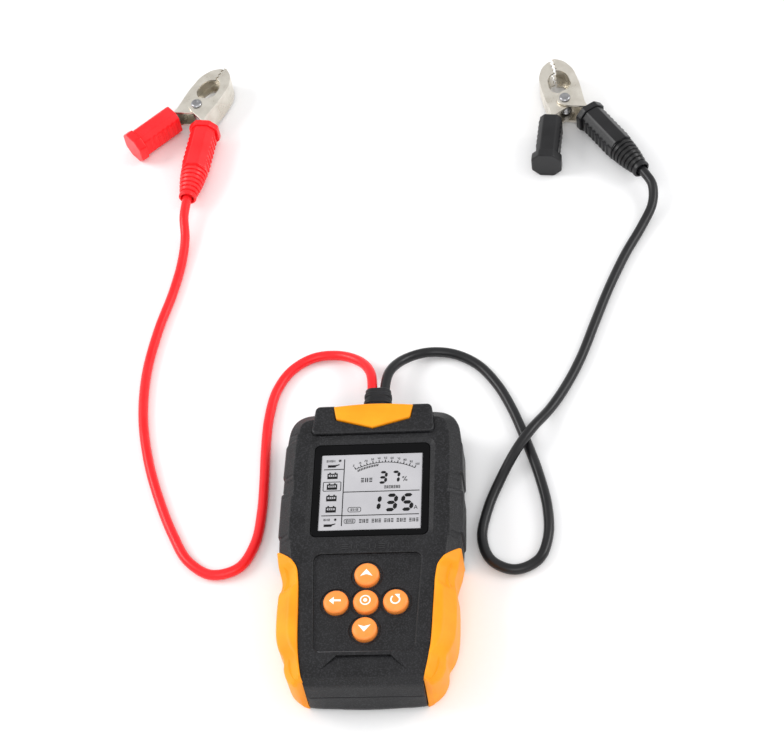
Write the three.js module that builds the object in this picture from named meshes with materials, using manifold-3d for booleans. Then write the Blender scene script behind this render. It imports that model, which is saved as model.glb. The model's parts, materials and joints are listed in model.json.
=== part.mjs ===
// Handheld battery tester with two test leads and spring clamps.
// The case lies on its back: +Z is out of the face, +Y is the end that the leads leave.
// The origin is under the middle of the case and its lead gland. Millimetres throughout.

import * as THREE from 'three';
import { mergeVertices } from 'three/addons/utils/BufferGeometryUtils.js';
import Module from 'manifold-3d';

const wasm = await Module();
wasm.setup();

// ---------------------------------------------------------------- driving dimensions

const GAP = 0.3;
const FAR = 200;

const CASE_TOP = 65.3;
const CASE_BOTTOM = -82.5;
const CASE_HALF_WIDTH = 43.5;
const FACE_Z = 27;
const PARTING_Z = 13;
const ROOF_Z = 23.6;
const FLOOR_Z = 4.4;
const CAVITY_INSET = 5.4;
const RAIL_PROUD = 0.7;
const FRONT_BEVEL = { size: 6, height: 5 };
const BACK_BEVEL = { size: 3, height: 3 };

const GRIP_THICKNESS = 3;
const GRIP_TOP_Z = 28.3;
const GRIP_BOTTOM_Z = 0;
const GRIP_CORE = { low: 2.6, high: 24.7 };

const SCREEN = { y: 18.6, width: 48.6, height: 41.4 };
const LENS = { y: 19.5, width: 55, height: 49.4, radius: 3, top: 25.9, thickness: 1.2 };
const LENS_SURROUND = 2.6;
const LCD = { top: 25.4, step: 24.3, bottom: 22.4, width: 50.6, height: 43.6 };

const KEYPAD = { top: -14.9, bottom: -64.2, topHalf: 25.2, bottomHalf: 22.8, radius: 3.5, depth: 1.4 };
const BUTTON = { y: -39.7, pitch: 13.7, radius: 5.75, hole: 6.1, well: 7.3, wellDepth: 0.6 };
const BUTTON_Z = { bottom: 21.5, flange: 22.6, shoulder: 26.6, crown: 28.3, flangeRadius: 6.5 };

const COVER = { bottom: 49.4, top: 65, topHalf: 28, bottomHalf: 29.9, base: 26.3, crown: 28.8 };
const COVER_LIP = { start: 61.3, low: 19 };
const TAB = { topHalf: 19.2, sideHalf: 17.9, sideY: 57, tipY: 51.8, base: 27.4, crown: 29.6 };

const BOARD = { halfWidth: 32.8, bottom: -60, top: 50, z: 12.4, thickness: 1.6 };
const BOARD_TOP = BOARD.z + BOARD.thickness;
const STANDS = [[-28, 43], [28, 43], [-28, -55], [28, -55]];

const GLAND = { flange: 57.6, end: 82.5, width: 14.4, height: 10, neckWidth: 12.6, neckHeight: 8.4, z: 13 };
const LEAD_RADIUS = 2.5;
const LEAD_SPACING = 3.2;

const SCREWS = [[-31.5, 55.5], [31.5, 55.5], [-20, -71], [20, -71]];
const BOSS_RADIUS = 3.8;

const CLAMP_HEIGHT = 17;
const HANDLE_ANGLE = THREE.MathUtils.degToRad(20);
const RED_CLAMP = { x: -108, y: 275, turn: THREE.MathUtils.degToRad(63) };
const BLACK_CLAMP = { x: 95, y: 266, turn: THREE.MathUtils.degToRad(104) };

// Centre lines of the two leads, from the gland's mouth to the boot of the clamp's handle.
const RED_ROUTE = [
  [-3.2, 79.8, 13], [-3.3, 87, 12.8], [-5, 96, 10.8], [-11, 105, 7], [-22, 111, 4], [-35, 111, 2.8],
  [-46, 104, 2.62], [-53, 92, 2.62], [-56, 76, 2.62], [-56.5, 58, 2.62], [-56, 40, 2.62],
  [-56, 22, 2.62], [-58, 5, 2.62], [-65, -8, 2.62], [-78, -11.5, 2.62], [-90, -4, 2.62],
  [-99, 11, 2.62], [-107, 29, 2.62], [-115, 52, 2.62], [-120.5, 78, 2.62], [-121.5, 105, 2.62],
  [-118, 132, 2.62], [-112.5, 156, 2.62], [-109.5, 176, 3], [-108.8, 190, 4.8], [-110, 202, 7.4],
  [-109.4, 210.9, 8.5], [-108.7, 216.9, 8.5],
];
const BLACK_ROUTE = [
  [3.2, 79.8, 13], [3.3, 87, 12.8], [5, 96, 10.8], [11, 105, 7], [22.5, 111, 4], [35.5, 110.5, 2.8],
  [48, 103.5, 2.62], [58, 91, 2.62], [65.5, 76, 2.62], [72, 58, 2.62], [78, 39, 2.62], [82, 20, 2.62],
  [82, 4, 2.62], [77.5, -7.5, 2.62], [66.5, -12.5, 2.62], [55.5, -7.5, 2.62], [51, 4, 2.62],
  [53.5, 20, 2.62], [60, 36.5, 4], [68, 50.5, 7.9], [75.5, 62, 7.9], [84, 75, 4], [92, 89, 2.62],
  [99.5, 105, 2.62], [107, 126, 2.62], [115, 148, 2.62], [124, 169, 2.62], [133, 186, 3.2],
  [139, 199, 5.4], [139.4, 209.8, 7.6], [136, 216.7, 8.5], [132.7, 221.7, 8.5],
];

// ---------------------------------------------------------------- looks

const looks = {
  blackPlastic: { color: 0x2f2f32, roughness: 0.62, metalness: 0 },
  blackGloss: { color: 0x0b0b0d, roughness: 0.12, metalness: 0 },
  blackRubber: { color: 0x1d1d1f, roughness: 0.6, metalness: 0 },
  blackPvc: { color: 0x18181a, roughness: 0.42, metalness: 0 },
  orangeGrip: { color: 0xffa51f, roughness: 0.55, metalness: 0 },
  orangeButton: { color: 0xff9a4a, roughness: 0.45, metalness: 0 },
  redPvc: { color: 0xff2a2e, roughness: 0.35, metalness: 0 },
  displayGrey: { color: 0xd6d5d8, roughness: 0.35, metalness: 0 },
  circuitGreen: { color: 0x1d5b34, roughness: 0.5, metalness: 0 },
  whitePlastic: { color: 0xe6e6e2, roughness: 0.6, metalness: 0 },
  greySilicone: { color: 0x8f9296, roughness: 0.7, metalness: 0 },
  nickel: { color: 0xcfc8b8, roughness: 0.3, metalness: 1 },
  steel: { color: 0x9a9a9c, roughness: 0.35, metalness: 1 },
  aluminium: { color: 0xb4b6b8, roughness: 0.4, metalness: 1 },
  ceramic: { color: 0xe8e4d8, roughness: 0.8, metalness: 0 },
};
const materials = {};
for (const [name, look] of Object.entries(looks)) {
  materials[name] = new THREE.MeshStandardMaterial(look);
}

// ---------------------------------------------------------------- solids

const held = (geometry) => {
  const bare = geometry.clone();
  bare.deleteAttribute('normal');
  bare.deleteAttribute('uv');
  const merged = mergeVertices(bare, 1e-4);
  const vertProperties = new Float32Array(merged.attributes.position.array);
  const triVerts = new Uint32Array(merged.index.array);
  return new wasm.Manifold(new wasm.Mesh({ numProp: 3, vertProperties, triVerts }));
};

const freed = (solid) => {
  const mesh = solid.getMesh();
  const geometry = new THREE.BufferGeometry();
  geometry.setAttribute('position', new THREE.BufferAttribute(mesh.vertProperties, 3));
  geometry.setIndex(new THREE.BufferAttribute(mesh.triVerts, 1));
  geometry.computeVertexNormals();
  return geometry;
};

const join = (first, ...rest) => rest.reduce((sum, next) => sum.add(next), first);
const cut = (first, ...rest) => rest.reduce((left, next) => left.subtract(next), first);
const meet = (first, ...rest) => rest.reduce((left, next) => left.intersect(next), first);

const shapeOf = (points) => new THREE.Shape(points.map(([x, y]) => new THREE.Vector2(x, y)));

// A straight prism of an outline between two heights.
const prism = (shape, low, high, curveSegments = 5) => {
  const geometry = new THREE.ExtrudeGeometry(shape, {
    depth: high - low, bevelEnabled: false, curveSegments,
  });
  return held(geometry.translate(0, 0, low));
};

// A prism whose upper edge is bevelled inwards. It runs straight down below the bevel.
const crowned = (shape, low, high, bevel, segments = 1, curveSegments = 5) => {
  const geometry = new THREE.ExtrudeGeometry(shape, {
    depth: high - low, bevelEnabled: true, bevelSize: bevel.size, bevelThickness: bevel.height,
    bevelOffset: -bevel.size, bevelSegments: segments, curveSegments,
  });
  geometry.translate(0, 0, low - bevel.height);
  return cut(held(geometry), block(0, 0, low - bevel.height - 1, FAR * 2, FAR * 2, 2 * bevel.height + 2));
};

// The same prism turned over, with its lower edge bevelled.
const keeled = (shape, low, high, bevel, segments = 1, curveSegments = 5) => {
  const geometry = new THREE.ExtrudeGeometry(shape, {
    depth: high - low, bevelEnabled: true, bevelSize: bevel.size, bevelThickness: bevel.height,
    bevelOffset: -bevel.size, bevelSegments: segments, curveSegments,
  });
  geometry.translate(0, 0, low + bevel.height);
  return cut(held(geometry), block(0, 0, high + bevel.height + 1, FAR * 2, FAR * 2, 2 * bevel.height + 2));
};

// A box given by the middle of its plan and of its height.
function block(x, y, z, width, depth, height) {
  return held(new THREE.BoxGeometry(width, depth, height).translate(x, y, z));
}

const slab = (low, high) => block(0, 0, (low + high) / 2, FAR * 2, FAR * 2, high - low);

// A vertical disc or shaft.
const post = (x, y, low, high, radius, sides = 20) => {
  const geometry = new THREE.CylinderGeometry(radius, radius, high - low, sides);
  return held(geometry.rotateX(Math.PI / 2).translate(x, y, (low + high) / 2));
};

// A turned solid round the vertical axis, from a profile of radius and height.
const turned = (profile, sides = 20) => {
  const points = profile.map(([radius, z]) => new THREE.Vector2(radius, z));
  return new THREE.LatheGeometry(points, sides).rotateX(Math.PI / 2);
};

const roundedRectangle = (x, y, width, height, radius) => {
  const shape = new THREE.Shape();
  const right = x + width / 2;
  const left = x - width / 2;
  const top = y + height / 2;
  const bottom = y - height / 2;
  shape.moveTo(left + radius, bottom);
  shape.lineTo(right - radius, bottom);
  shape.absarc(right - radius, bottom + radius, radius, -Math.PI / 2, 0);
  shape.absarc(right - radius, top - radius, radius, 0, Math.PI / 2);
  shape.absarc(left + radius, top - radius, radius, Math.PI / 2, Math.PI);
  shape.absarc(left + radius, bottom + radius, radius, Math.PI, Math.PI * 1.5);
  return shape;
};

// An outline with straight sides and quadratic corners of one size.
const softened = (corners, radius) => {
  const shape = new THREE.Shape();
  corners.forEach((corner, index) => {
    const here = new THREE.Vector2(...corner);
    const before = new THREE.Vector2(...corners.at(index - 1));
    const after = new THREE.Vector2(...corners[(index + 1) % corners.length]);
    const start = here.clone().add(before.sub(here).setLength(radius));
    const end = here.clone().add(after.sub(here).setLength(radius));
    if (index === 0) {
      shape.moveTo(start.x, start.y);
    } else {
      shape.lineTo(start.x, start.y);
    }
    shape.quadraticCurveTo(here.x, here.y, end.x, end.y);
  });
  return shape;
};

// The right half's points, top to bottom, and their mirror images.
const mirrored = (half) => {
  const left = half.filter(([x]) => x > 0).map(([x, y]) => [-x, y]).reverse();
  return [...half, ...left];
};

// An outline moved inwards by a distance, corner by corner. The points run clockwise.
const inset = (points, distance) => points.map((point, index) => {
  const before = points.at(index - 1);
  const after = points[(index + 1) % points.length];
  const into = new THREE.Vector2(point[0] - before[0], point[1] - before[1]).normalize();
  const out = new THREE.Vector2(after[0] - point[0], after[1] - point[1]).normalize();
  const inward = new THREE.Vector2(into.y + out.y, -into.x - out.x).normalize();
  const miter = distance / Math.max(0.5, inward.dot(new THREE.Vector2(into.y, -into.x)));
  return [point[0] + inward.x * miter, point[1] + inward.y * miter];
});

// A tube along a smooth curve, with a many-sided round section.
const tube = (points, radius, sides, steps) => {
  const path = new THREE.CatmullRomCurve3(points.map((point) => new THREE.Vector3(...point)));
  const ring = [];
  for (let side = 0; side < sides; side += 1) {
    const angle = (side / sides) * Math.PI * 2;
    ring.push([Math.cos(angle) * radius, Math.sin(angle) * radius]);
  }
  return new THREE.ExtrudeGeometry(shapeOf(ring), { steps, bevelEnabled: false, extrudePath: path });
};

const tester = new THREE.Group();

const place = (parent, name, geometry, material) => {
  const mesh = new THREE.Mesh(geometry.isBufferGeometry ? geometry : freed(geometry), material);
  mesh.name = name;
  parent.add(mesh);
  return mesh;
};

// ---------------------------------------------------------------- case outline

// Rounded shoulders, nearly straight sides, a waist in the grips and a bowed lower end.
const caseHalf = [
  [0, CASE_TOP], [29, 65], [34.5, 64], [38.6, 61.4], [41, 57.6], [42.2, 52.5], [43, 34],
  [CASE_HALF_WIDTH, 12], [43.3, -9], [42.2, -18], [40, -27.5], [41.1, -34],
  [40.9, -55], [39.1, -61.5], [36.9, -65.5], [36.6, -71], [33.8, -76.8], [28, -80.7],
  [14, CASE_BOTTOM + 0.5], [0, CASE_BOTTOM],
];
const caseOutline = mirrored(caseHalf);

// The lower end leans back from the face to the back.
const END_LEAN = Math.atan2(4, FACE_Z);
const lowerEnd = () => {
  const wedge = new THREE.BoxGeometry(FAR, 40, 80).translate(0, -20, 0);
  wedge.rotateX(-END_LEAN).translate(0, CASE_BOTTOM + 4, FACE_Z);
  return held(wedge);
};

const caseVolume = (outline, top, bottom) => {
  const front = crowned(shapeOf(outline), -10, top, FRONT_BEVEL);
  const back = keeled(shapeOf(outline), bottom, 40, BACK_BEVEL);
  return cut(meet(front, back), lowerEnd());
};

// ---------------------------------------------------------------- grips

// The plan of one grip: everything outboard of its inner edge.
const gripPlan = (side, shrink) => {
  const edge = [
    [41.6, -11.6], [36.2, -16.4], [32.4, -21], [31.1, -30], [29.9, -58], [27.3, -77], [24.6, -90],
  ].map(([x, y]) => [side * (x + shrink), y - shrink]);
  return shapeOf([[side * 60, -11 - shrink], ...edge, [side * 60, -90]]);
};

const gripCore = (grow) => prism(
  shapeOf(inset(caseOutline, GRIP_THICKNESS - grow)), GRIP_CORE.low - grow, GRIP_CORE.high + grow,
);

const gripPocket = (side) => cut(prism(gripPlan(side, 0), -20, 60), gripCore(0));

const grip = (side) => {
  const volume = caseVolume(caseOutline, GRIP_TOP_Z, GRIP_BOTTOM_Z);
  return cut(meet(volume, prism(gripPlan(side, GAP), -20, 60)), gripCore(GAP));
};

place(tester, 'left_grip', grip(-1), materials.orangeGrip);
place(tester, 'right_grip', grip(1), materials.orangeGrip);

// ---------------------------------------------------------------- shells

const railPlans = (side) => [
  [[35.4, 24], [48, 32], [48, 43], [36.5, 53]],
  [[35.4, -8.8], [48, 0.2], [48, 22.6], [35.4, 14.6]],
].map((corners) => shapeOf(corners.map(([x, y]) => [side * x, y])));

const railedVolume = () => {
  const plain = caseVolume(inset(caseOutline, RAIL_PROUD), FACE_Z, 0);
  const full = caseVolume(caseOutline, FACE_Z, 0);
  const rails = [-1, 1].flatMap((side) => railPlans(side).map((plan) => meet(full, prism(plan, -1, 60))));
  return join(plain, ...rails);
};

const cavity = () => prism(shapeOf(inset(caseOutline, CAVITY_INSET)), FLOOR_Z, ROOF_Z);

const coverPlan = (grow) => softened([
  [-COVER.bottomHalf - grow, COVER.bottom - grow], [COVER.bottomHalf + grow, COVER.bottom - grow],
  [COVER.topHalf + grow, COVER.top + grow], [-COVER.topHalf - grow, COVER.top + grow],
], 3);

const coverVolume = (grow) => {
  const plate = prism(coverPlan(grow), COVER.base - grow, 40);
  const lipLow = COVER_LIP.low - grow;
  const lip = meet(
    prism(coverPlan(grow), lipLow, 40),
    block(0, COVER_LIP.start - grow + 10, 30, 90, 20, 60),
  );
  return join(plate, lip);
};

const glandHole = () => {
  const hole = roundedRectangle(0, 0, GLAND.neckWidth + 2 * GAP, GLAND.neckHeight + 2 * GAP, 2.5);
  const geometry = new THREE.ExtrudeGeometry(hole, { depth: 20, bevelEnabled: false, curveSegments: 4 });
  return held(geometry.rotateX(Math.PI / 2).translate(0, 78, GLAND.z));
};

const buttonPlaces = {
  button_up: [0, BUTTON.y + BUTTON.pitch],
  button_enter: [0, BUTTON.y],
  button_down: [0, BUTTON.y - BUTTON.pitch],
  button_escape: [-BUTTON.pitch, BUTTON.y],
  button_reset: [BUTTON.pitch, BUTTON.y],
};

const screenCuts = () => {
  const outerWidth = LENS.width + 2 * LENS_SURROUND + 2 * GAP;
  const outerHeight = LENS.height + 2 * LENS_SURROUND + 2 * GAP;
  const dish = keeled(
    roundedRectangle(0, LENS.y, outerWidth, outerHeight, 5), LENS.top, 60,
    { size: LENS_SURROUND, height: FACE_Z - LENS.top },
  );
  const seat = prism(
    roundedRectangle(0, LENS.y, LENS.width + 2 * GAP, LENS.height + 2 * GAP, LENS.radius),
    LENS.top - LENS.thickness - GAP, 60,
  );
  const window = prism(
    roundedRectangle(0, SCREEN.y, LCD.width + 2 * GAP, LCD.height + 2 * GAP, 0.8), 10, 60,
  );
  return join(dish, seat, window);
};

const keypadCuts = () => {
  const plan = softened([
    [-KEYPAD.bottomHalf, KEYPAD.bottom], [KEYPAD.bottomHalf, KEYPAD.bottom],
    [KEYPAD.topHalf, KEYPAD.top], [-KEYPAD.topHalf, KEYPAD.top],
  ], KEYPAD.radius);
  const floor = FACE_Z - KEYPAD.depth;
  const pad = prism(plan, floor, 60);
  const wells = Object.values(buttonPlaces).flatMap(([x, y]) => [
    post(x, y, floor - BUTTON.wellDepth, 60, BUTTON.well, 24),
    post(x, y, 10, 60, BUTTON.hole, 24),
  ]);
  return join(pad, ...wells);
};

// A shallow ramp under the keypad, deepest at its upper edge.
const CHIN = { top: -66.3, bottom: -73.5, topHalf: 12.2, bottomHalf: 19.6, depth: 1.2 };
const chinCut = () => {
  const plan = shapeOf([
    [-CHIN.bottomHalf, CHIN.bottom], [CHIN.bottomHalf, CHIN.bottom],
    [CHIN.topHalf, CHIN.top], [-CHIN.topHalf, CHIN.top],
  ]);
  const slope = Math.atan2(CHIN.depth, CHIN.top - CHIN.bottom);
  const above = new THREE.BoxGeometry(60, 40, 20).translate(0, 0, 10);
  above.rotateX(-slope).translate(0, CHIN.bottom, FACE_Z);
  return meet(prism(plan, 20, 60), held(above));
};

const frontShell = () => {
  const hollow = meet(cavity(), slab(PARTING_Z, ROOF_Z));
  const bosses = SCREWS.map(([x, y]) => post(x, y, PARTING_Z + GAP, ROOF_Z + 0.5, BOSS_RADIUS, 16));
  const pilots = SCREWS.map(([x, y]) => post(x, y, 5, 21.5, 1.65, 12));
  const upper = meet(railedVolume(), slab(PARTING_Z + GAP, 60));
  const walls = cut(upper, hollow, gripPocket(-1), gripPocket(1));
  const openings = [screenCuts(), keypadCuts(), chinCut(), coverVolume(GAP), glandHole()];
  return cut(join(cut(walls, ...openings), ...bosses), ...pilots);
};

// The back carries a label recess and finger grooves.
const BACK_LABEL = { y: 12, width: 52, height: 34, depth: 0.5 };
const rearShell = () => {
  const hollow = meet(cavity(), slab(FLOOR_Z, 40));
  const lower = meet(railedVolume(), slab(-5, PARTING_Z));
  const bosses = SCREWS.map(([x, y]) => post(x, y, FLOOR_Z - 0.5, PARTING_Z, BOSS_RADIUS, 16));
  const stands = STANDS.map(([x, y]) => post(x, y, FLOOR_Z - 0.5, BOARD.z - GAP, 2.2, 12));
  const holes = SCREWS.flatMap(([x, y]) => [post(x, y, -5, 40, 1.7, 12), post(x, y, -5, 3, 3.2, 16)]);
  const label = prism(
    roundedRectangle(0, BACK_LABEL.y, BACK_LABEL.width, BACK_LABEL.height, 2), -5, BACK_LABEL.depth,
  );
  const grooves = [];
  for (let row = 0; row < 5; row += 1) {
    grooves.push(prism(roundedRectangle(0, -22 - row * 6, 40, 1.8, 0.8), -5, 0.7, 3));
  }
  const walls = cut(lower, hollow, gripPocket(-1), gripPocket(1), glandHole());
  return cut(join(walls, ...bosses, ...stands), ...holes, label, ...grooves);
};

place(tester, 'front_shell', frontShell(), materials.blackPlastic);
place(tester, 'rear_shell', rearShell(), materials.blackPlastic);

SCREWS.forEach(([x, y], index) => {
  const screw = turned([
    [0, 1.2], [1.2, 0.8], [1.6, 0.5], [2.8, 0.7], [2.8, 2.7], [1.35, 2.7], [1.35, 20], [0, 21],
  ], 10);
  place(tester, `case_screw_${index + 1}`, screw.translate(x, y, 0), materials.steel);
});

// ---------------------------------------------------------------- top cover and tab

const tabPlan = (grow) => {
  const side = TAB.topHalf + grow;
  const shape = new THREE.Shape();
  shape.moveTo(-side, CASE_TOP - 1.2);
  shape.lineTo(-TAB.sideHalf - grow, TAB.sideY - grow);
  shape.lineTo(0, TAB.tipY - grow);
  shape.lineTo(TAB.sideHalf + grow, TAB.sideY - grow);
  shape.lineTo(side, CASE_TOP - 1.2);
  shape.quadraticCurveTo(0, CASE_TOP + 1.2, -side, CASE_TOP - 1.2);
  return shape;
};

const topCover = () => {
  const dome = crowned(coverPlan(0), 0, COVER.crown, { size: 1, height: 0.9 }, 2);
  const seat = prism(tabPlan(GAP), TAB.base - GAP, 60);
  const runOut = block(0, CASE_TOP, TAB.base - GAP + 10, 2 * (TAB.topHalf + GAP), 3, 20);
  return cut(meet(coverVolume(0), dome), seat, runOut);
};

place(tester, 'top_cover', topCover(), materials.blackPlastic);
const tabSolid = meet(
  crowned(tabPlan(0), 0, TAB.crown, { size: 0.7, height: 0.7 }, 2), slab(TAB.base, 60),
);
place(tester, 'top_tab', tabSolid, materials.orangeGrip);

// ---------------------------------------------------------------- display

const lensFrame = cut(
  prism(
    roundedRectangle(0, LENS.y, LENS.width, LENS.height, LENS.radius),
    LENS.top - LENS.thickness, LENS.top,
  ),
  prism(roundedRectangle(0, SCREEN.y, SCREEN.width, SCREEN.height, 0.5), 0, 60, 2),
);
place(tester, 'display_lens', lensFrame, materials.blackGloss);

// A plate with a raised pad that stands in the window's opening.
const PAD_CLEARANCE = 0.7;
const panel = join(
  block(0, SCREEN.y, (LCD.bottom + LCD.step) / 2, LCD.width, LCD.height, LCD.step - LCD.bottom),
  block(
    0, SCREEN.y, (LCD.bottom + LCD.top) / 2,
    SCREEN.width - PAD_CLEARANCE, SCREEN.height - PAD_CLEARANCE, LCD.top - LCD.bottom,
  ),
);
place(tester, 'display_panel', panel, materials.displayGrey);

const carrier = cut(
  block(0, SCREEN.y, (BOARD_TOP + GAP + LCD.bottom - GAP) / 2, 52, 45, LCD.bottom - BOARD_TOP - 2 * GAP),
  block(0, SCREEN.y, 20, 46, 39, 40),
);
place(tester, 'display_carrier', carrier, materials.whitePlastic);

// ---------------------------------------------------------------- keypad

const buttonProfile = [
  [0, BUTTON_Z.bottom], [BUTTON_Z.flangeRadius, BUTTON_Z.bottom], [BUTTON_Z.flangeRadius, BUTTON_Z.flange],
  [BUTTON.radius, BUTTON_Z.flange], [BUTTON.radius, BUTTON_Z.shoulder], [5.45, 27.3], [4.7, 27.85],
  [2.6, 28.2], [0, BUTTON_Z.crown],
];
for (const [name, [x, y]] of Object.entries(buttonPlaces)) {
  place(tester, name, turned(buttonProfile, 22).translate(x, y, 0), materials.orangeButton);
}

const SWITCH = { width: 6, bodyTop: 17.6, stemTop: 18.9, stemRadius: 1.7 };
for (const [name, [x, y]] of Object.entries(buttonPlaces)) {
  const body = block(x, y, (BOARD_TOP + GAP + SWITCH.bodyTop) / 2, SWITCH.width, SWITCH.width,
    SWITCH.bodyTop - BOARD_TOP - GAP);
  const stem = post(x, y, SWITCH.bodyTop - 0.5, SWITCH.stemTop, SWITCH.stemRadius, 12);
  place(tester, name.replace('button', 'switch'), join(body, stem), materials.steel);
}

const keypadMat = prism(roundedRectangle(0, BUTTON.y, 44, 42, 3), 19.2, 20.3);
place(tester, 'keypad_mat', keypadMat, materials.greySilicone);

// ---------------------------------------------------------------- circuit board

const boardSolid = cut(
  block(0, (BOARD.top + BOARD.bottom) / 2, BOARD.z + BOARD.thickness / 2,
    2 * BOARD.halfWidth, BOARD.top - BOARD.bottom, BOARD.thickness),
  ...STANDS.map(([x, y]) => post(x, y, 0, 60, 1.2, 10)),
);
place(tester, 'main_board', boardSolid, materials.circuitGreen);

const underBoard = BOARD.z - GAP;
place(tester, 'load_resistor', block(-18, 22, underBoard - 3.4, 9, 38, 6.4), materials.ceramic);
place(tester, 'power_transistor', block(14, 30, underBoard - 1.5, 10, 15, 2.6), materials.blackPlastic);
const sinkBase = block(14, 2, underBoard - 1.2, 30, 26, 1.8);
const sinkFins = [-12, -6, 0, 6, 12].map((offset) => block(14 + offset, 2, underBoard - 4.2, 1.6, 26, 5));
place(tester, 'heat_sink', join(sinkBase, ...sinkFins), materials.aluminium);
place(tester, 'buzzer', turned([[0, 5.6], [6, 5.6], [6, underBoard], [0, underBoard]], 18)
  .translate(-18, -22, 0), materials.blackPlastic);
place(tester, 'main_chip', block(20, -18, BOARD_TOP + GAP + 0.8, 10, 10, 1.6), materials.blackPlastic);
const capacitor = new THREE.CylinderGeometry(3.2, 3.2, 11, 14).translate(0, -34, underBoard - 3.4);
place(tester, 'smoothing_capacitor', capacitor, materials.aluminium);

// ---------------------------------------------------------------- lead gland

const glandPlate = (width, height, start, end) => {
  const section = roundedRectangle(0, 0, width, height, Math.min(width, height) * 0.3);
  const geometry = new THREE.ExtrudeGeometry(section, {
    depth: end - start, bevelEnabled: false, curveSegments: 2,
  });
  return held(geometry.rotateX(Math.PI / 2).translate(0, end, GLAND.z));
};

const glandSolid = () => {
  const flange = glandPlate(18, 12, GLAND.flange, GLAND.flange + 1.8);
  const neck = glandPlate(GLAND.neckWidth, GLAND.neckHeight, GLAND.flange, GLAND.end);
  const ribs = [];
  for (let rib = 0; rib < 4; rib += 1) {
    const start = CASE_TOP + 0.5 + rib * 3.9;
    ribs.push(glandPlate(GLAND.width - rib * 0.25, GLAND.height - rib * 0.2, start, start + 2.4));
  }
  const bores = [-1, 1].map((side) => {
    const bore = new THREE.CylinderGeometry(LEAD_RADIUS + 0.4, LEAD_RADIUS + 0.4, 40, 12);
    return held(bore.translate(side * LEAD_SPACING, 75, GLAND.z));
  });
  return cut(join(flange, neck, ...ribs), ...bores);
};
place(tester, 'lead_gland', glandSolid(), materials.blackRubber);

// Inside, each conductor runs on from the gland to its pad on the board.
const innerWire = (side) => tube([
  [side * LEAD_SPACING, 75.5, GLAND.z], [side * LEAD_SPACING, 66, GLAND.z],
  [side * LEAD_SPACING, 58.5, 13.4], [side * 5, 54, 15.5], [side * 7, 48, 16.4], [side * 7, 44.5, 16.4],
], 1.4, 6, 9);
place(tester, 'red_inner_wire', innerWire(-1), materials.redPvc);
place(tester, 'black_inner_wire', innerWire(1), materials.blackPvc);

place(tester, 'red_lead', tube(RED_ROUTE, LEAD_RADIUS, 8, 60), materials.redPvc);
place(tester, 'black_lead', tube(BLACK_ROUTE, LEAD_RADIUS, 8, 64), materials.blackPvc);

// ---------------------------------------------------------------- clamps

// One clamp half, for a handle on the +Y side: jaws run along +X, the pivot is the origin.
const SHEET = 1.2;
const armStart = [-7, 9.4];
const alongArm = (distance, offset = 0) => [
  armStart[0] - Math.cos(HANDLE_ANGLE) * distance + Math.sin(HANDLE_ANGLE) * offset,
  armStart[1] + Math.sin(HANDLE_ANGLE) * distance + Math.cos(HANDLE_ANGLE) * offset,
];

const jawHalf = (low, high) => {
  const outer = [[29, 1.9], [26, 6.4], [19, 9.8], [8, 10.4], armStart, alongArm(22)];
  const inner = [alongArm(22, -SHEET), alongArm(0.4, -SHEET), [8, 9.1], [18.4, 8.5], [25, 5.4], [27.8, 1.9]];
  const web = prism(shapeOf([...outer, ...inner]), low, high);
  const wallPlan = [
    [29, 0.3], [29, 1.9], [26, 6.4], [19, 9.8], [8, 10.4], armStart, [-9, 9], [-6.4, 2.4],
    [-4.8, -1.6], [-2, -4.6], [2, -4.6], [4.8, -1.6], [6, 3.6], [9, 6], [16, 5.6], [19.5, 3.2],
    [20.5, 0.3], [22, 1.2], [23.4, 0.3], [24.8, 1.2], [26.2, 0.3], [27.6, 1.2],
  ];
  const upper = prism(shapeOf(wallPlan), high - SHEET, high);
  const lower = prism(shapeOf(wallPlan), low, low + SHEET);
  return cut(join(web, upper, lower), post(0, 0, -5, 40, 1.85, 14));
};

// A stretch of handle: an eight-sided sleeve round the arm, between two distances along it.
const sleeve = (start, end, width, low, high, chamfer) => {
  const section = shapeOf([
    [-width / 2, low + chamfer], [-width / 2 + chamfer, low], [width / 2 - chamfer, low],
    [width / 2, low + chamfer], [width / 2, high - chamfer], [width / 2 - chamfer, high],
    [-width / 2 + chamfer, high], [-width / 2, high - chamfer],
  ]);
  const geometry = new THREE.ExtrudeGeometry(section, { depth: end - start, bevelEnabled: false });
  geometry.rotateX(Math.PI / 2).rotateZ(-Math.PI / 2).translate(-start, 0, 0);
  geometry.rotateZ(-HANDLE_ANGLE);
  return held(geometry.translate(armStart[0], armStart[1], 0));
};

const armPocket = (low, high) => sleeve(-4, 23, 2 * SHEET + 2 * GAP, low - GAP, high + GAP, 0.1);

const MID = CLAMP_HEIGHT / 2;
const freeHandle = (low, high) => cut(
  join(
    sleeve(2.5, 28, 12, 0.8, CLAMP_HEIGHT - 0.8, 2.6),
    sleeve(27, 32, 16, 0, CLAMP_HEIGHT, 4.2),
  ),
  armPocket(low, high),
);

const BOOT = { start: 32, end: 51, wide: 7.2, narrow: 4.7, ribs: 6, sides: 14 };
const bootProfile = () => {
  const profile = [[0, BOOT.start - 1], [BOOT.wide, BOOT.start - 1]];
  const pitch = (BOOT.end - BOOT.start - 2) / BOOT.ribs;
  for (let rib = 0; rib < BOOT.ribs; rib += 1) {
    const from = BOOT.start + 1 + rib * pitch;
    const radius = BOOT.wide + (BOOT.narrow - BOOT.wide) * (rib / BOOT.ribs) ** 1.5;
    profile.push([radius, from], [radius - 0.9, from + 0.5], [radius - 0.2, from + 1]);
  }
  profile.push([BOOT.narrow, BOOT.end], [0, BOOT.end]);
  return profile;
};

// Turned about the arm's own line, at the middle of the clamp's height.
const onArm = (geometry) => {
  geometry.rotateY(-Math.PI / 2).rotateZ(-HANDLE_ANGLE);
  return held(geometry.translate(armStart[0], armStart[1], MID));
};

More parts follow.
